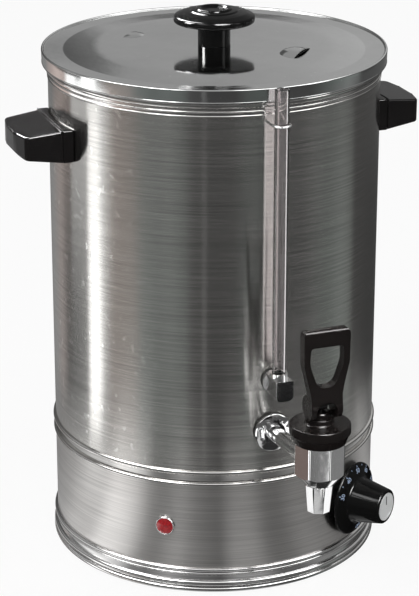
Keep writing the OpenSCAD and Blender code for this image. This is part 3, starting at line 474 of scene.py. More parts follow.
def mesh_piece(name, verts, faces, finish, body, sharp=30):
    """A piece of the urn, shaded smooth up to the sharp angle and riding on a body."""
    piece = new_object(name, verts, faces, finish)
    piece.data.validate()
    piece.data.shade_smooth()
    piece.data.set_sharp_from_angle(angle=math.radians(sharp))
    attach(piece, body)
    return piece


# %% [markdown]
# ## The lathe
# `swept` turns an outline round the z axis. A Screw modifier would do the same, but points
# made here share the corners on the axis and close both ends in one step. `turned` makes a
# piece of them, and `outward` aims the lathe's axis out of the tank for the knob and the
# lamp.

# %% The lathe


def swept(outline, sides, closed=True):
    """Vertices in millimetres and faces of an outline turned round the z axis."""
    verts, rows = [], []
    for r, z in outline:
        if r < 1e-6:
            rows.append([len(verts)] * sides)
            verts.append((0, 0, z))
        else:
            rows.append(list(range(len(verts), len(verts) + sides)))
            verts += [(r * math.cos(2 * math.pi * k / sides),
                       r * math.sin(2 * math.pi * k / sides), z) for k in range(sides)]
    faces = []
    for a, b in zip(rows, rows[1:] + (rows[:1] if closed else [])):
        for k in range(sides):
            j = (k + 1) % sides
            ring = list(dict.fromkeys((a[k], a[j], b[j], b[k])))
            if len(ring) > 2:
                faces.append(ring)
    return verts, faces


def turned(name, outline, finish, body, sides, matrix=Matrix.Identity(4)):
    """A piece from its outline in millimetres, placed by a matrix."""
    verts, faces = swept(outline, sides)
    placed = [(matrix @ Vector(v)) / 1000 for v in verts]
    return mesh_piece(name, placed, faces, finish, body)


def outward(azimuth, height):
    """Matrix that lays a lathe's z axis along the line out of the tank at that azimuth."""
    a = math.radians(azimuth)
    out = Vector((math.sin(a), -math.cos(a), 0))
    up = Vector((0, 0, 1))
    side = up.cross(out)
    m = Matrix((side, up, out)).transposed().to_4x4()
    m.translation = up * height
    return m


print("lathe ready")

# %% [markdown]
# ## Beaded walls
# A pressed bead is a half round that stands out of the wall. Rings laid on a plain cylinder
# would be quicker, but pressed steel is one skin and the joint would show. So `beaded` walks
# up the wall in small steps and lets the widest bead decide the radius at each height. Beads
# are rubbed smoother than the wall, so `burnish` gives the faces at their heights another
# finish.

# %% Bead helpers


def beaded(z0, z1, radius, beads, step=0.12):
    """Outer points of a wall whose beads are (height, half height, how far they stand out)."""
    heights = {z0, z1}
    for middle, half, _ in beads:
        count = int(2 * half / step)
        heights |= {middle - half + 2 * half * k / count for k in range(count + 1)}
    points = []
    for z in sorted(h for h in heights if z0 <= h <= z1):
        stand = 0.0
        for middle, half, out in beads:
            t = (z - middle) / half
            if abs(t) < 1:
                stand = max(stand, out * math.sqrt(1 - t * t))
        points.append((radius + stand, z))
    return points


def arc(centre_r, centre_z, radius, start, end, steps):
    """Points on a circle from one angle to another, in degrees from the outward direction."""
    angles = [math.radians(start + (end - start) * k / steps) for k in range(steps + 1)]
    return [(centre_r + radius * math.cos(a), centre_z + radius * math.sin(a)) for a in angles]


def burnish(piece, *zones):
    """Gives the faces of a wall's outside between two heights the smoother bead steel."""
    piece.data.materials.append(bead_steel)
    for face in piece.data.polygons:
        z = face.center.z * 1000
        if any(low < z < high for low, high in zones):
            face.material_index = 1


print("a bead of 2.4 mm has", len(beaded(0, 9, WALL, [(4.5, 2.4, 2.4)])), "points")

# %% [markdown]
# ## Tank wall
# The tank's wall is rolled from sheet, with three beads below the rim, one at its foot, and
# the rim itself rolled over to a round edge. It is turned as one closed outline, inside and
# outside, because the open tank shows both.

# %% Tank wall
SIDES = 288                      # sides of the wide rounds
tank_bottom = tank_low.z
wall = beaded(tank_bottom, RIM - 2.4, WALL,
              [(RIM - 9.6, 2.4, 2.4), (RIM - 14.4, 0.8, 0.8), (RIM - 17.4, 0.5, 0.5),
               (tank_bottom + 2.2, 1.8, 1.8)])
rim_roll = (WALL - 1, RIM - 1.8, 1.6)
roll = arc(*rim_roll, 0, 90, 8) + arc(*rim_roll, 90, 250, 10)
tank_outline = wall + roll + [(WALL - SHEET, RIM - 5), (WALL - SHEET, tank_bottom)]
tank = turned("tank_wall", tank_outline, tank_steel, "urn", SIDES)
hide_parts("tank_shell")
burnish(tank, (RIM - 18.2, RIM + 1), (tank_bottom - 0.1, tank_bottom + 4.2))
print("tank:", len(tank.data.vertices), "vertices")

# %% [markdown]
# ## Base wall
# The base hides the heater. Its top turns in at a groove and up again as a spigot that holds
# the tank. Both belong to one outline, so that no gap shows in the groove.

# %% Base wall
base_top = base_high.z - 13      # the groove, above which the spigot holds the tank
base_wall = beaded(base_low.z, base_top, WALL, [(base_top - 1.8, 1.6, 1.6)])
spigot = WALL - SHEET - 0.08
base_outline = base_wall + [(spigot, base_top), (spigot, base_high.z),
                            (spigot - SHEET, base_high.z), (spigot - SHEET, base_top - SHEET),
                            (WALL - SHEET, base_top - SHEET), (WALL - SHEET, base_low.z)]
base = turned("base_wall", base_outline, base_steel, "urn", SIDES)
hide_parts("base_shell")
burnish(base, (base_top - 3.6, base_high.z + 1))
print("base:", len(base.data.vertices), "vertices")

# %% [markdown]
# ## Foot ring
# A ribbed ring closes the base and carries the urn. Its ribs are beads again, wide enough to
# touch, and the dips between them are kept shallow, as a roller leaves them.

# %% Foot ring
foot_top = foot_high.z
ribs = beaded(0.2, foot_top, WALL + 0.3,
              [(foot_top - 1.6, 1.6, 1.9), (foot_top - 4.4, 1.1, 1.5), (7.0, 2.4, 2.4),
               (2.2, 2.0, 2.35)])
ribs = [(max(r, WALL + 0.7) if 3 < z < foot_top - 1 else r, z) for r, z in ribs]
foot_outline = ([(WALL - 12, 0), (WALL + 0.4, 0)] + ribs
                + [(WALL, foot_top), (WALL, 1.5), (WALL - 12, 1.5)])
foot = turned("foot_ring_ribs", foot_outline, trim_steel, "urn", SIDES)
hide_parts("foot_ring")
print("foot:", len(foot.data.vertices), "vertices")

# %% [markdown]
# ## The lid
# The lid is one pressing: a skirt with a hem, a rolled edge bead, a flat band that rests on
# the rim, a shallow slope and a raised panel. A disc with bevelled edges would come close,
# but each radius between these parts draws its own bright line, so the outline names them one
# by one.

# %% Lid
panel = RIM + SHEET + 2.0        # top of the raised panel
slope_in, slope_out = 83, 108.5  # radii between which the panel falls to the band
screw_hole = 2.6
skirt_in, skirt_out = lid_high.x - SHEET, lid_high.x
bead = 0.9                       # radius of the rolled edge
bead_r, bead_z = skirt_out - bead, RIM + 1.3
hem = lid_low.z
# The first two and the last corner only lead the rounding in and out, and are cut off.
lid_top = eased([(0, panel + 40), (0, panel), (slope_in, panel, 160), (slope_out, RIM + 1, 12),
                 (bead_r - 1.0, RIM + 1, 0.5), (bead_r - 1.0, RIM + 40)], 16)[2:-1]
lid_outline = ([(screw_hole, panel - SHEET), (screw_hole, panel)] + lid_top
               + arc(bead_r, bead_z, bead, 175, -10, 18)
               + [(skirt_out - 0.12, RIM - 1)]
               + arc(skirt_out - 0.8, hem + 0.7, 0.7, 40, -200, 14)
               + [(skirt_in, hem + 1.6), (skirt_in, RIM + 0.4), (skirt_in - 0.6, RIM),
                  (slope_out, RIM), (slope_in, panel - SHEET)])
lid = turned("lid_pressing", lid_outline, lid_steel, "lid", SIDES)
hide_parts("lid_panel")
print("lid:", len(lid.data.vertices), "vertices")

# %% [markdown]
# ## Steam louvres
# Two louvres are pushed up out of the panel to let steam out. Each is half a low dome that meets
# the panel gently at its sides and is open at its straight edge. Cutting them into the panel with
# a Boolean would spoil the shading of the steel round them, so the domes are laid on it, and a
# thin black shape under each is painted shadow standing for the dark slot behind its edge.

# %% Steam louvres
LOUVRE_Y = -68                   # straight edge of a louvre, before it is turned into place


def louvre(name, azimuth, half, rise):
    """Half of a low dome, half as its radius and rise as its height in the middle."""
    rings, spokes = 14, 28
    turn = Matrix.Rotation(math.radians(azimuth), 4, "Z")
    verts, faces = [], []
    for inner in (0.0, 0.7):
        for i in range(rings + 1):
            r = half * i / rings
            for k in range(spokes + 1):
                a = math.pi * k / spokes
                z = (rise - inner) * (1 - (i / rings) ** (2 + 4 * math.sin(a) ** 2))
                verts.append(turn @ Vector((r * math.cos(a), LOUVRE_Y + r * math.sin(a),
                                            panel + z - 0.05 - inner * 0.2)) / 1000)
    row = spokes + 1
    layer = row * (rings + 1)
    for start in range(0, rings * row, row):
        for a in range(start, start + row):
            b = a + row
            if a < start + spokes:
                faces += [(a, a + 1, b + 1, b),
                          (layer + b, layer + b + 1, layer + a + 1, layer + a)]
            if a in (start, start + spokes):
                faces.append((a, b, layer + b, layer + a))
    mesh_piece(name, verts, faces, lid_steel, "lid", 40)


for side, (azimuth, half, rise) in enumerate(((46.0, 16.0, 2.9), (226.0, 11.0, 1.3))):
    louvre("steam_louvre_%d" % side, azimuth, half, rise)
    lip, depth = half - 0.9, half - 2.5
    turn = Matrix.Rotation(math.radians(azimuth), 4, "Z")
    angles = [math.pi * k / 16 for k in range(16, -1, -1)]
    slot_shadow = [turn @ Vector((lip * math.cos(a), LOUVRE_Y + 0.2 + depth * math.sin(a),
                            panel + 0.05)) / 1000 for a in angles]
    # A flat shape in the black rubber finish under each dome: painted shadow for the slot behind
    # the louvre's edge.
    mesh_piece("louvre_shadow_%d" % side, slot_shadow, [tuple(reversed(range(17)))], rubber, "lid")
print("louvres added")

# %% [markdown]
# ## The lid's knob
# It is a turned mushroom of black resin: a straight stem, a wide cap with a soft edge, and a
# low stepped crown with a raised ring round a shallow dish. It could be sculpted, but the
# real one comes out of a round mould, and an outline keeps its steps even all the way round.

# %% Lid knob
knob_low, knob_high = span("lid_knob")
stem_r, cap_r = 11.7, knob_high.x
cap_z = knob_low.z + 16.4        # underside of the cap
edge = cap_z + 4.6               # where the cap's rounded edge begins to close
crown = knob_high.z
knob_outline = eased([
    (0, knob_low.z), (stem_r, knob_low.z, 0.4), (stem_r, cap_z - 0.05, 1.6),
    (cap_r, cap_z + 0.1, 1.4), (cap_r, edge + 0.2, 2.2), (cap_r * 0.80, edge + 2.5, 4),
    (cap_r * 0.66, edge + 3.2, 0.8), (cap_r * 0.60, edge + 3.3, 0.8),
    (cap_r * 0.56, edge + 4.2, 0.8), (cap_r * 0.45, edge + 4.5, 0.5),
    (cap_r * 0.42, crown, 1.1), (cap_r * 0.34, crown, 1.1),
    (cap_r * 0.29, crown - 1.5, 0.8), (0, crown - 1.6)], 7)
knob = turned("lid_knob_cap", knob_outline, knob_black, "lid", 160)
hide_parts("lid_knob")
print("knob:", round(cap_r * 2, 1), "mm across")

# %% [markdown]
# ## Rounding the moulded and cast blocks
# Handles, the tap's body and its lever aren't round. The solid model has their true shape,
# but with crisp edges, and nothing moulded or cast has those. `softened` copies a solid's
# mesh, joins its split corners, removes the edges that lie in flat faces and bevels the rest.
# Weighted normals then keep the large faces flat beside a narrow bevel.

# %% Bevelled copies
SAME_SPOT = 2e-6                 # metres within which two corners are one
FLAT, CRISP = math.radians(0.6), math.radians(30)


def softened(name, node, width, finish, body, segments=3, clamp=True):
    """A copy of a solid with bevelled edges. clamp stops bevels where they would meet."""
    bm = bmesh.new()
    bm.from_mesh(frame["nodes"][node].data)
    bmesh.ops.remove_doubles(bm, verts=bm.verts, dist=SAME_SPOT)
    bmesh.ops.dissolve_limit(bm, angle_limit=FLAT, verts=bm.verts, edges=bm.edges)
    verts = [v.co.copy() for v in bm.verts]
    faces = [[v.index for v in f.verts] for f in bm.faces]
    bm.free()
    piece = mesh_piece(name, verts, faces, finish, body)
    bevel = piece.modifiers.new("edges", "BEVEL")
    bevel.limit_method = "ANGLE"
    bevel.angle_limit = CRISP
    bevel.width = width / 1000
    bevel.segments = segments
    bevel.use_clamp_overlap = clamp
    flats = piece.modifiers.new("flats", "WEIGHTED_NORMAL")
    flats.keep_sharp = True
    graph = bpy.context.evaluated_depsgraph_get()
    rounded = bpy.data.meshes.new_from_object(piece.evaluated_get(graph))
    piece.modifiers.clear()
    piece.data = rounded
    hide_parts(node)


for side in ("left", "right"):
    softened("grip_" + side, "handle_" + side, 1.1, black, "urn", clamp=False)
softened("tap_casting", "tap_body", 0.5, chrome, "urn", 2)
softened("lever_moulding", "tap_lever", 1.3, lever_black, "lever")
print("blocks softened")

# %% [markdown]
# ## Bonnet of the tap
# The bonnet screws down on the tap's body. It is a shallow black cup, narrower at the bottom,
# with a fine bevel that gives one clear line of light round its top edge. Softening the solid
# would round all its edges alike, so it is turned again with a radius for each corner.

# %% Tap bonnet
bonnet_low, bonnet_high = span("tap_bonnet")
low, roof = bonnet_low.z, bonnet_low.z + 9.6
boss = low + 18.2                # top of the boss that the lever's cam rests on
top = boss - 4.6                 # flat top of the cup
stem_hole, neck_r, rim_r, boss_r, dome_r = 2.6, 14.6, 20.9, 9.6, 7.2
bonnet_outline = eased([
    (stem_hole, roof), (neck_r, roof), (neck_r, low), (17.7, low, 0.4), (19.8, low + 5.6, 1.5),
    (rim_r, low + 7.2, 1.2), (rim_r, top, 0.9), (boss_r + 1.3, top, 0.9),
    (boss_r, top + 1.1, 0.5), (boss_r, boss, 0.6), (dome_r, boss),
    (dome_r, bonnet_high.z, 2.6), (stem_hole, bonnet_high.z)])
bonnet = turned("bonnet_cup", bonnet_outline, lever_black, "urn", 128,
                Matrix.Translation((0, TAP_Y, 0)))
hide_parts("tap_bonnet")
print("bonnet:", round(bonnet_high.z - bonnet_low.z, 1), "mm high")

# %% [markdown]
# ## Spring under the bonnet
# The coil presses the seat cup down. A curve with a round bevel could draw it, but points worked
# out here end exactly at the solid's height. The coil's top rests against the bonnet's roof, so it
# stays with the tap.

# %% Tap spring
coil_low, coil_high = span("tap_spring")
WIRE, TURNS, TRAVEL = 0.6, 4, 4.2        # radius of the wire, turns, and the stem's travel
AROUND, ALONG = 12, 48 * TURNS           # points round the wire and along the coil
coil_r = (coil_high.x - coil_low.x) / 2 - WIRE
coil_run = coil_high.z - coil_low.z - 2 * WIRE
verts = []
for step in range(ALONG + 1):
    turn = 2 * math.pi * TURNS * step / ALONG
    for side in range(AROUND):
        lean = 2 * math.pi * side / AROUND
        r = coil_r + WIRE * math.cos(lean)
        z = coil_low.z + WIRE * (1 + math.sin(lean)) + coil_run * step / ALONG
        verts.append((r * math.cos(turn) / 1000, (TAP_Y + r * math.sin(turn)) / 1000, z / 1000))
faces = [(a + side, a + AROUND + side, a + AROUND + (side + 1) % AROUND, a + (side + 1) % AROUND)
         for a in range(0, ALONG * AROUND, AROUND) for side in range(AROUND)]
faces += [tuple(range(AROUND)), tuple(range(len(verts) - 1, len(verts) - AROUND - 1, -1))]
coil = mesh_piece("coil_spring", verts, faces, screw_steel, "urn", 50)
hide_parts("tap_spring")
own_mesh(coil)
print("spring:", round(coil_high.z - coil_low.z, 1), "mm long at rest")

# %% [markdown]
# ## The level gauge
# Water in the tank stands at the same height in the glass. A filled rod would act as a lens,
# so the tube is turned with its bore, and its upper lip is rounded, as a flame leaves it. The
# fitting below it is a small plated block, softened like the castings.

# %% Gauge tube and its fitting
tube_low, tube_high = span("gauge_tube")
bore, outside = 3.5, 5.0
tube_outline = eased([(bore, tube_low.z), (outside, tube_low.z), (outside, tube_high.z, 0.7),
                      (bore, tube_high.z, 0.7)])
tube = turned("level_glass", tube_outline, glass, "urn", 64,
              Matrix.Translation((0, TUBE_Y, 0)))
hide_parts("gauge_tube")

softened("elbow_block", "gauge_elbow", 0.8, chrome, "urn")
print("gauge:", round(tube_high.z - tube_low.z), "mm of glass")

# %% [markdown]
# ## Thermostat knob
# The knob has a wide skirt that carries the scale and a tapered barrel for the fingers, with
# a silver disc let into its end. The solid has the same form with flat facets. It is turned
# again, because print on a facet would catch the light in patches.

# %% Knob body and disc
DIAL = outward(STAT_AZ, STAT_Z)
back, end = WALL + 2.4, WALL + 31.0
disc_r = 10.6
slope_top, slope_foot = (19.2, 4.6), (26.6, 2.4)     # the skirt's: radius, height over back
dial_outline = eased([
    (0, back), (27.0, back, 0.3), (27.4, back + 0.6, 0.3), (27.4, back + 1.6, 0.5),
    (slope_foot[0], back + slope_foot[1], 0.6), (slope_top[0], back + slope_top[1], 1.5),
    (17.2, back + 5.6, 1.2), (16.8, back + 7, 2), (13.0, end - 0.8, 1.2), (12.2, end, 0.5),
    (disc_r, end, 0.2), (disc_r, end - 1), (0, end - 1)])
dial = turned("thermostat_grip", dial_outline, knob_black, "thermostat", 128,
              DIAL)
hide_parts("thermostat_knob")
disc_outline = eased([
    (0, end - 1), (disc_r - 0.15, end - 1), (disc_r - 0.15, end + 0.3, 0.25),
    (8.8, end + 0.3, 0.2), (8.6, end + 0.05, 0.2), (0, end + 0.05)], 4)
disc = turned("thermostat_disc", disc_outline, silver, "thermostat", 96, DIAL)
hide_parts("knob_insert")
print("thermostat knob:", round(end - back, 1), "mm deep")

# %% [markdown]
# ## The scale
# The scale is plain numbers, printed in pale blue on the skirt's slope, with a mark for each
# and a shorter one between. A line on the disc points at them. The whole scale could be a
# picture laid on the skirt, but letters made as curves stay sharp from close by. Print has
# almost no thickness, so it floats a tenth of a millimetre over the plastic.

# %% Scale and pointer
NUMBERS, FIRST, SPACING = 8, -66, 34.0   # how many, degrees from the top, degrees between
PRINT_LIFT = 0.1


def on_skirt(turn, radius, lift):
    """Matrix of a spot on the skirt's sloping face, turn degrees clockwise from the top."""
    slope = math.atan2(slope_top[1] - slope_foot[1], slope_foot[0] - slope_top[0])
    height = back + slope_foot[1] + (slope_foot[0] - radius) * math.tan(slope) + lift
    a = math.radians(turn)
    spot = Matrix.Translation((radius * math.sin(a), radius * math.cos(a), height))
    return DIAL @ spot @ Matrix.Rotation(-a, 4, "Z") @ Matrix.Rotation(-slope, 4, "X")


def bar(name, matrix, half, low, high, finish):
    """A flat bar from half its width and the heights of its ends, in millimetres."""
    corners = ((-half, low), (half, low), (half, high), (-half, high))
    verts = [matrix @ Vector((x, y, 0)) / 1000 for x, y in corners]
    mesh_piece(name, verts, [(0, 1, 2, 3)], finish, "thermostat")


for step in range(NUMBERS):
    turn = FIRST + step * SPACING
    degrees = 30 + step * 10
    letters = bpy.data.curves.new("scale_%d" % degrees, "FONT")
    letters.body = str(degrees)
    letters.size, letters.align_x, letters.align_y = 0.0049, "CENTER", "CENTER"
    letters.materials.append(dial_print)
    number = linked(letters.name, letters)
    spot = on_skirt(turn, 22.4, 0.12)
    spot.translation /= 1000
    number.matrix_world = spot
    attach(number, "thermostat")
    for part, length in ((0, 1.6), (17, 1.0)):
        if part == 0 or step < NUMBERS - 1:
            bar("tick_%d_%d" % (step, part), on_skirt(turn + part, 25.7, PRINT_LIFT), 0.3,
                -length / 2, length / 2, dial_print)
bar("disc_pointer", DIAL @ Matrix.Translation((0, 0, end + PRINT_LIFT)), 0.5, 1.5, 8.2,
    knob_black)
print("scale printed from 30 to", degrees)

# %% [markdown]
# ## Pilot lamp
# A neon lamp sits behind a small red lens in a chrome ring. A glowing material would show it
# switched on, so the lens is only dyed. The ring's rounded lip throws a bright circle round
# it, and a bevel on the solid would be too even for that, so it gets its own outline.

# %% Lamp ring and lens
LAMP = outward(LAMP_AZ, LAMP_Z)
lens_r, lens_seat, hole_r = 6.1, WALL + 1.4, 4.98
ring_outline = eased([
    (hole_r, WALL), (7.0, WALL), (7.0, WALL + 1.1, 0.4), (6.6, WALL + 2, 0.3),
    (6.2, WALL + 2, 0.2), (lens_r, lens_seat), (hole_r, lens_seat)], 6)
ring = turned("lamp_ring", ring_outline, chrome, "urn", 72, LAMP)
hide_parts("lamp_bezel")
dome = 1.7                       # how far the lens stands over its edge
ball_r = (lens_r ** 2 + dome ** 2) / (2 * dome)
lens_outline = [(lens_r * k / 12, WALL + 1.8 + dome - ball_r
                 + math.sqrt(ball_r ** 2 - (lens_r * k / 12) ** 2)) for k in range(13)]
lens_outline += [(lens_r, lens_seat), (4.9, lens_seat), (4.9, WALL + 0.6), (0, WALL + 0.6)]
lens = turned("lamp_lens_dome", lens_outline, red_lens, "urn", 72, LAMP)
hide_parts("lamp_lens")
print("lamp ready")

# %% [markdown]
# ## Finishes for every other solid
# The other pieces keep the solid model's own meshes. Most are inside, where a softer edge
# would never be seen, but a lid lifts, so each one gets the finish of the real thing.

# %% Give the finishes out
FINISHES = (
    (inner_steel, "tank_floor base_brackets cutout_bracket bulb_clip"),
    (zinc, "base_plate"),
    (sheath, "heating_element"),
    (copper, "thermostat_bulb"),
    (screw_steel, "base_screws thermostat_screws terminal_screws lamp_nut handle_screws "
                  "handle_washers clip_retainers lid_knob_screw lid_knob_washer"),
    (brass, "element_nuts gauge_nut tap_lock_nut thermostat_spindle"),
    (red_rubber, "element_seals"),
    (ceramic, "element_insulators"),
    (ivory, "thermal_cutout thermostat_body terminal_block lamp_body"),
    (chrome, "gauge_ferrule gauge_clip"),
    (rubber, "gauge_seal gauge_washer_outer gauge_washer_inner tap_washer_outer "
             "tap_washer_inner gland_seal"),
    (silicone, "tap_gasket tap_seat_cup"),
    (black, "tap_stem tap_pivot_pin cable_gland gland_cap gland_nut"),
)
dressed = {name: finish for finish, names in FINISHES for name in names.split()}
for name, finish in dressed.items():
    data = frame["nodes"][name].data
    data.materials.clear()
    data.materials.append(finish)
hidden = [n for n, o in frame["nodes"].items() if o.hide_render]
missing = [n for n in frame["nodes"] if n not in dressed and n not in hidden]
print("dressed", len(dressed), "rebuilt", len(hidden), "left over", missing)

# %% [markdown]
# ## A studio for metal
# Polished metal has almost no colour of its own: it is a picture of the room. A studio
# therefore hangs cards round the object, and the bands on the tank are those cards. Steel,
# plating and resin each get a room of cards here, because a card that suits the wide tank is
# lost on a small tap. Only reflections see them: lamps and an even sky light everything else.
# The floor comes first. It looks almost white, but lights the urn only as pale paper does.

# %% Floor


def stage_mesh(name, verts, faces, finish):
    """A piece of the studio, which is no part of the urn."""
    piece = new_object(name, verts, faces, finish)
    return piece


paper = Finish("pale_floor", Roughness=0.9, Base_Color=rgb(0.86, 0.86, 0.86))
by_camera, by_gloss, by_glass = (
    paper.node("ShaderNodeLightPath", output="Is %s Ray" % kind)
    for kind in ("Camera", "Glossy", "Transmission"))
white = paper.node("ShaderNodeEmission", {}, {"Color": rgb(1, 1, 1), "Strength": 1.0})
paper.surface(paper.node("ShaderNodeMixShader", {}, {
    0: (by_camera + by_gloss + by_glass) * 0.9, 1: Signal(paper, paper.shader.outputs[0]),
    2: white}))
floor = stage_mesh("floor", [(-9, -9, 0), (9, -9, 0), (9, 9, 0), (-9, 9, 0)], [(0, 1, 2, 3)],
                   paper.material)
floor.visible_glossy = False     # so that upright metal shows the cards and not the paper
print("floor laid")

# %% [markdown]
# ## How a card is drawn
# Cards could be flat lamps stood round the urn, but every one would need its own place and
# aim. Here a ramp of greys runs once round the urn, and a card is a few of its stops. Ramps
# stand one above the other in layers, and the sine of the height says where each layer
# starts.

# %% Card helpers
VIEW = 20.2                      # azimuth of the camera, towards -X of the tap


def card_ramp(finish, bands):
    """Brightness by angle; bands are degrees to the right of the camera and a grey or a colour."""
    around = finish.node("ShaderNodeTexGradient", {"gradient_type": "RADIAL"},
                         {"Vector": finish.place()}, output=1)
    stops = [((angle + 180) / 360, rgb(*(level if isinstance(level, tuple) else [level] * 3)))
             for angle, level in bands]
    return finish.node("ShaderNodeValToRGB", {"stops": stops}, {"Fac": around})


def stacked(finish, layers):
    """Cards one above the other: each starts where the sine of the height says."""
    unit = finish.node("ShaderNodeVectorMath", {"operation": "NORMALIZE"}, {0: finish.place()})
    rise = finish.node("ShaderNodeSeparateXYZ", {}, {"Vector": unit}, output=2)
    total = rgb(0.85, 0.85, 0.85)
    for start, end, bands in layers:
        total = finish.colours(rise.between(start, end), total, card_ramp(finish, bands))
    return total


print("cards face the camera at", VIEW, "degrees")

# %% [markdown]
# ## Cards for the steel
# Each table walks once round the urn: degrees to the right of the camera, and the brightness
# there, as a grey or as a warm or cool colour. Numbers over 1 are windows and lamps.

# %% Cards round the steel
# Upright walls look down past the floor, so this ring of cards draws their bands.
low_cards = [
    (-180, 0.18), (-150, 0.34), (-134, (0.42, 0.38, 0.37)), (-124, 0.15), (-112, 0.15),
    (-104, 0.24), (-97.5, 0.33), (-96, 2.8), (-88, 2.8), (-82, 0.62), (-76, (0.40, 0.36, 0.34)),
    (-58, (0.40, 0.37, 0.35)), (-50, (0.245, 0.268, 0.26)), (-40, (0.188, 0.208, 0.20)),
    (-30, (0.217, 0.238, 0.23)), (-20, (0.18, 0.198, 0.19)), (-15, 0.11), (-8, 0.09),
    (-6.5, 0.30), (-5, 0.08), (14, 0.08), (22, (0.122, 0.135, 0.13)), (32, (0.13, 0.146, 0.14)),
    (40, 0.08), (66, 0.08), (82, (0.15, 0.168, 0.16)), (98, (0.25, 0.275, 0.265)),
    (108, (0.23, 0.25, 0.24)), (114, 0.08), (135, 0.06), (160, 0.05), (180, 0.18)]
# Near the lid's skirt and the beads the window's card is wider.
shoulder_cards = [
    (-180, 0.22), (-150, 0.3), (-136, (0.6, 0.5, 0.47)), (-126, (0.85, 0.71, 0.66)),
    (-116, (0.8, 0.66, 0.62)), (-112, 2.5), (-78, 2.6), (-70, (0.9, 0.76, 0.70)),
    (-56, (0.42, 0.37, 0.35)), (-40, 0.22), (-20, 0.12), (14, 0.09),
    (40, 0.12), (66, 0.10), (98, 0.26), (114, 0.10), (150, 0.12), (180, 0.22)]
# The lid looks at the far side of the room just above the horizon.
far_cards = [
    (-180, 0.42), (-173.4, 0.41), (-172.8, 0.13), (-165, 0.11), (-150, 0.14), (-120, 0.5),
    (-60, 0.3), (0, 0.15), (60, 0.2), (150, 0.6), (168, 0.66), (174, 0.48), (180, 0.42)]
# Rounded top edges look at the ceiling in front of the urn.
high_cards = [
    (-180, 0.42), (-140, 0.40), (-105, 0.2), (-96, 8), (-70, 8), (-64, 2.5), (-30, 2.5),
    (-10, 1.6), (14, 1.6), (20, 5), (60, 4), (110, 3), (125, 0.6), (140, 0.42), (180, 0.42)]
horizon = [(-180, 0.09), (180, 0.09)]
print("stops in the widest ring:", len(low_cards))

# %% [markdown]
# ## Cards for plating and resin
# Plating gets harder cards of its own: dark where its flats look, and bright between them.
# Resin mirrors only a few hundredths of what it sees, so its windows are far brighter.

# %% Cards round the plating and the resin
TAN = (0.20, 0.155, 0.14)
plate_cards = [
    (-180, 0.3), (-160, 0.10), (-142, 0.16), (-131, 0.16), (-127, 1.6), (-108, 1.8), (-102, 0.06),
    (-94, TAN), (-83, TAN), (-80, 0.05), (-76, 3.0), (-48, 3.0),
    (-44, 0.05), (-28, 0.08), (-22, 2.6), (-9, 2.6), (-6, 0.16), (1.6, 0.2), (2.6, 1.2),
    (4, 1.2), (5.5, 0.1), (14, 0.06), (19, 2.2), (30, 2.2), (34, 0.012), (49, 0.012), (53, 1.8),
    (70, 1.8), (75, 0.06), (80, 0.22), (94, 0.24), (180, 0.3)]
ceiling_cards = [
    (-180, 2.0), (-150, 1.2), (-100, 0.3), (0, 0.1), (100, 0.3), (150, 1.2), (180, 2.0)]
resin_walls = [
    (-180, 0.12), (-150, 0.45), (-112, 0.5), (-100, 0.12), (0, 0.1), (100, 0.1), (180, 0.12)]
resin_far = [(-180, 0.2), (-160, 0.22), (-150, 0.1), (150, 0.2), (172, 0.3), (180, 0.2)]
resin_windows = [
    (-180, 0.2), (-152, 0.2), (-148, 60), (-122, 60), (-118, 0.1), (2, 0.1), (6, 60), (46, 60),
    (50, 0.1), (150, 0.25), (180, 0.2)]
print("brightest window:", max(level for _, level in resin_windows))

# %% [markdown]
# ## Hanging the rooms
# A room is a globe of cards round the urn. The three stand one inside the other, and light
# linking shows each to its own pieces. The steel's room is outside and solid. The other two
# are clear, so a reflection passes through a room that isn't meant for it.

# %% Hanging a ring of cards


def hang(name, finish, light, profile, clear, group):
    """A ring of cards from its profile in millimetres, seen only in a group's reflections."""
    cards = finish.node("ShaderNodeEmission", {}, {"Color": light, "Strength": 1.0})
    if clear:
        behind = finish.node("ShaderNodeBsdfTransparent")
        cards = finish.node("ShaderNodeAddShader", {}, {0: cards, 1: behind})
    finish.surface(cards)
    verts, faces = swept(profile, 180, closed=False)
    ring = stage_mesh(name, [Vector(v) / 1000 for v in verts], faces, finish.material)
    # The gradient is 0 degrees along +X and grows anticlockwise: this aims it at the camera.
    ring.rotation_euler.z = math.radians(-90 - VIEW)
    for ray in ("camera", "diffuse", "transmission", "volume_scatter", "shadow"):
        setattr(ring, "visible_" + ray, False)
    ring.light_linking.receiver_collection = group


print("a ring of cards can hang")

# %% [markdown]
# ## Three rooms
# Which room a piece sees follows from its finish. Lists of names would go stale when a piece
# is added, so `kin` collects the pieces by their materials. The steel's room takes everything
# that isn't in the other two.

# %% Rooms for steel, plating and resin


def kin(name, finishes, state="INCLUDE"):
    """The pieces in some finishes, as a collection that a light shines on alone or skips."""
    group = bpy.data.collections.new(name)
    for piece in bpy.context.scene.objects:
        if any(slot.material in finishes for slot in piece.material_slots):
            group.objects.link(piece)
    for member in group.collection_objects:
        member.light_linking.link_state = state
    return group


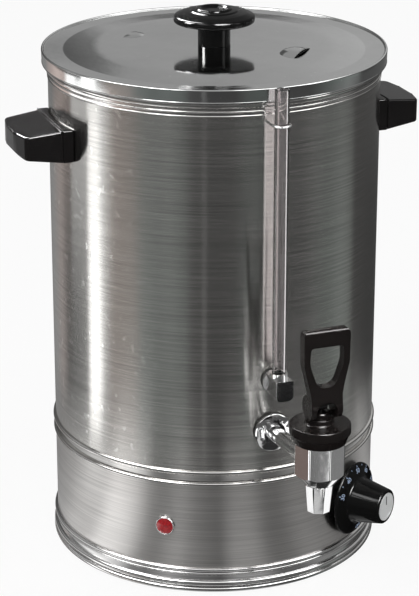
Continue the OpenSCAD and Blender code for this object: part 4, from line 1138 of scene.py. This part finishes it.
RESINS = (black, lever_black, knob_black)
ROOMS = (                        # finish, pieces, scale, layers of cards from the floor up
    ("steel", kin("neither_plate_nor_resin", (chrome,) + RESINS, "EXCLUDE"), 1.0, [
        (-0.94, -0.86, low_cards), (-0.185, -0.17, shoulder_cards), (-0.14, -0.12, horizon),
        (0.20, 0.24, far_cards), (0.60, 0.66, high_cards), (0.88, 0.93, far_cards)]),
    ("plate", kin("plated_pieces", (chrome,)), 0.98, [
        (-0.94, -0.86, plate_cards), (-0.02, 0.02, horizon), (0.25, 0.30, ceiling_cards),
        (0.60, 0.66, high_cards), (0.88, 0.93, far_cards)]),
    ("resin", kin("resin_pieces", RESINS), 0.96, [
        (-0.94, -0.86, resin_walls), (0.13, 0.16, resin_far), (0.50, 0.54, resin_windows),
        (0.93, 0.96, resin_far)]),
)
GLOBE = [(500, -2900), (2300, -2000), (3000, -700), (3000, 900), (2500, 2000), (1300, 2800),
         (10, 3050)]
for kind, group, scale, layers in ROOMS:
    finish = Finish(kind + "_cards")
    hang(kind + "_room", finish, stacked(finish, layers),
         [(r * scale, z * scale) for r, z in GLOBE], scale < 1, group)
print("rooms hung:", [room[0] for room in ROOMS])

# %% [markdown]
# ## The table
# The base and the tap stand so low that they see only the table close by. The floor could be
# painted, but then everything would see it. Two narrow rings just over it draw patches
# instead, one for the steel and one for the plating.

# %% Rings of table cards
STEEL_TABLE = [
    (-180, 0.2), (-120, 0.3), (-95, 0.5), (-80, 0.8), (-66, 0.85), (-58, 1.4), (-48, 1.2),
    (-41, 0.8), (-35, 0.3), (-28, 0.22), (-18, 0.45), (-10, 0.25), (3, 0.13), (10, 0.38),
    (20, 0.38), (28, 0.16), (36, 0.16), (46, 0.3), (62, 0.24), (85, 0.1), (110, 0.5),
    (130, 0.2), (180, 0.2)]
PLATE_TABLE = [
    (-180, 0.05), (-70, 0.05), (-64, TAN), (-44, TAN),
    (-40, 0.03), (-36, 1.2), (-24, 1.2), (-18, 0.03), (2, 0.03), (5, 0.65), (12, 0.65),
    (15, 0.03), (40, 0.03), (45, 1.2), (60, 1.2), (66, 0.03), (180, 0.05)]
for (kind, group, scale, _), bands, up in zip(ROOMS, (STEEL_TABLE, PLATE_TABLE), (0.5, 0.8)):
    finish = Finish(kind + "_table_cards")
    hang(kind + "_table", finish, card_ramp(finish, bands), [(134, up), (365, up)], scale < 1,
         group)
print("table rings hung")

# %% [markdown]
# ## Lamps and sky
# One broad lamp high on the left gives the plastics their shape, a weaker one fills from the
# right, and the sky is an even white that is brighter to the camera than to the urn. More
# lamps would cross their shadows. The lid's knob has a window of its own, which shines on
# nothing else and only as a gleam.

# %% Lamps and sky
SKY_SEEN, SKY_LIGHT = 1.0, 0.55          # strength to the camera, and as a light


def softbox(name, place, size, power):
    """A soft lamp from its width and height, in metres, and its watts, aimed at the urn."""
    light = bpy.data.lights.new(name, "AREA")
    light.shape, light.size, light.size_y, light.energy = "RECTANGLE", size[0], size[1], power
    lamp = linked(name, light)
    lamp.location = place
    aim = Vector((0, 0, 0.2)) - Vector(place)
    lamp.rotation_euler = aim.to_track_quat("-Z", "Y").to_euler()
    return lamp


softbox("key_softbox", (-1.6, -1.0, 1.9), (0.9, 0.9), 22)
softbox("fill_softbox", (1.5, -1.2, 1.2), (0.6, 1.2), 5)
knob_only = bpy.data.collections.new("knob_only")
knob_only.objects.link(knob)
window = softbox("knob_window", (-1.28, 0.23, 0.92), (0.5, 1.0), 120)
window.visible_diffuse = False
window.light_linking.receiver_collection = knob_only

world = bpy.data.worlds.new("sky")
bpy.context.scene.world = world
world.use_nodes = True
sky = Graph(world.node_tree)
background = sky.tree.nodes["Background"]
seen = sky.node("ShaderNodeLightPath", output="Is Camera Ray")
strength = seen * (SKY_SEEN - SKY_LIGHT) + SKY_LIGHT
sky.tree.links.new(strength.socket, background.inputs["Strength"])
background.inputs["Color"].default_value = rgb(1, 1, 1)
print("lamps and sky set")

# %% [markdown]
# ## Camera
# A long lens looks down from a little above and from the left of the tap, as a catalogue
# would. A short lens from closer by would frame the urn as well, but its upright edges would
# lean.

# %% Camera
LENS, EYE = 138.0, (-0.5535, -1.5043, 0.7788)
LOOK = (90 - 20.389, -0.04, -20.07)      # degrees about x, y and z
camera_data = bpy.data.cameras.new("camera")
camera_data.sensor_fit, camera_data.sensor_height = "VERTICAL", 36
camera_data.lens, camera_data.clip_end = LENS, 60
camera = linked("camera", camera_data)
camera.location = EYE
camera.rotation_euler = [math.radians(angle) for angle in LOOK]
bpy.context.scene.camera = camera
bpy.context.scene.view_settings.view_transform = "Standard"
print("camera at", [round(c, 3) for c in camera.location])

# %% [markdown]
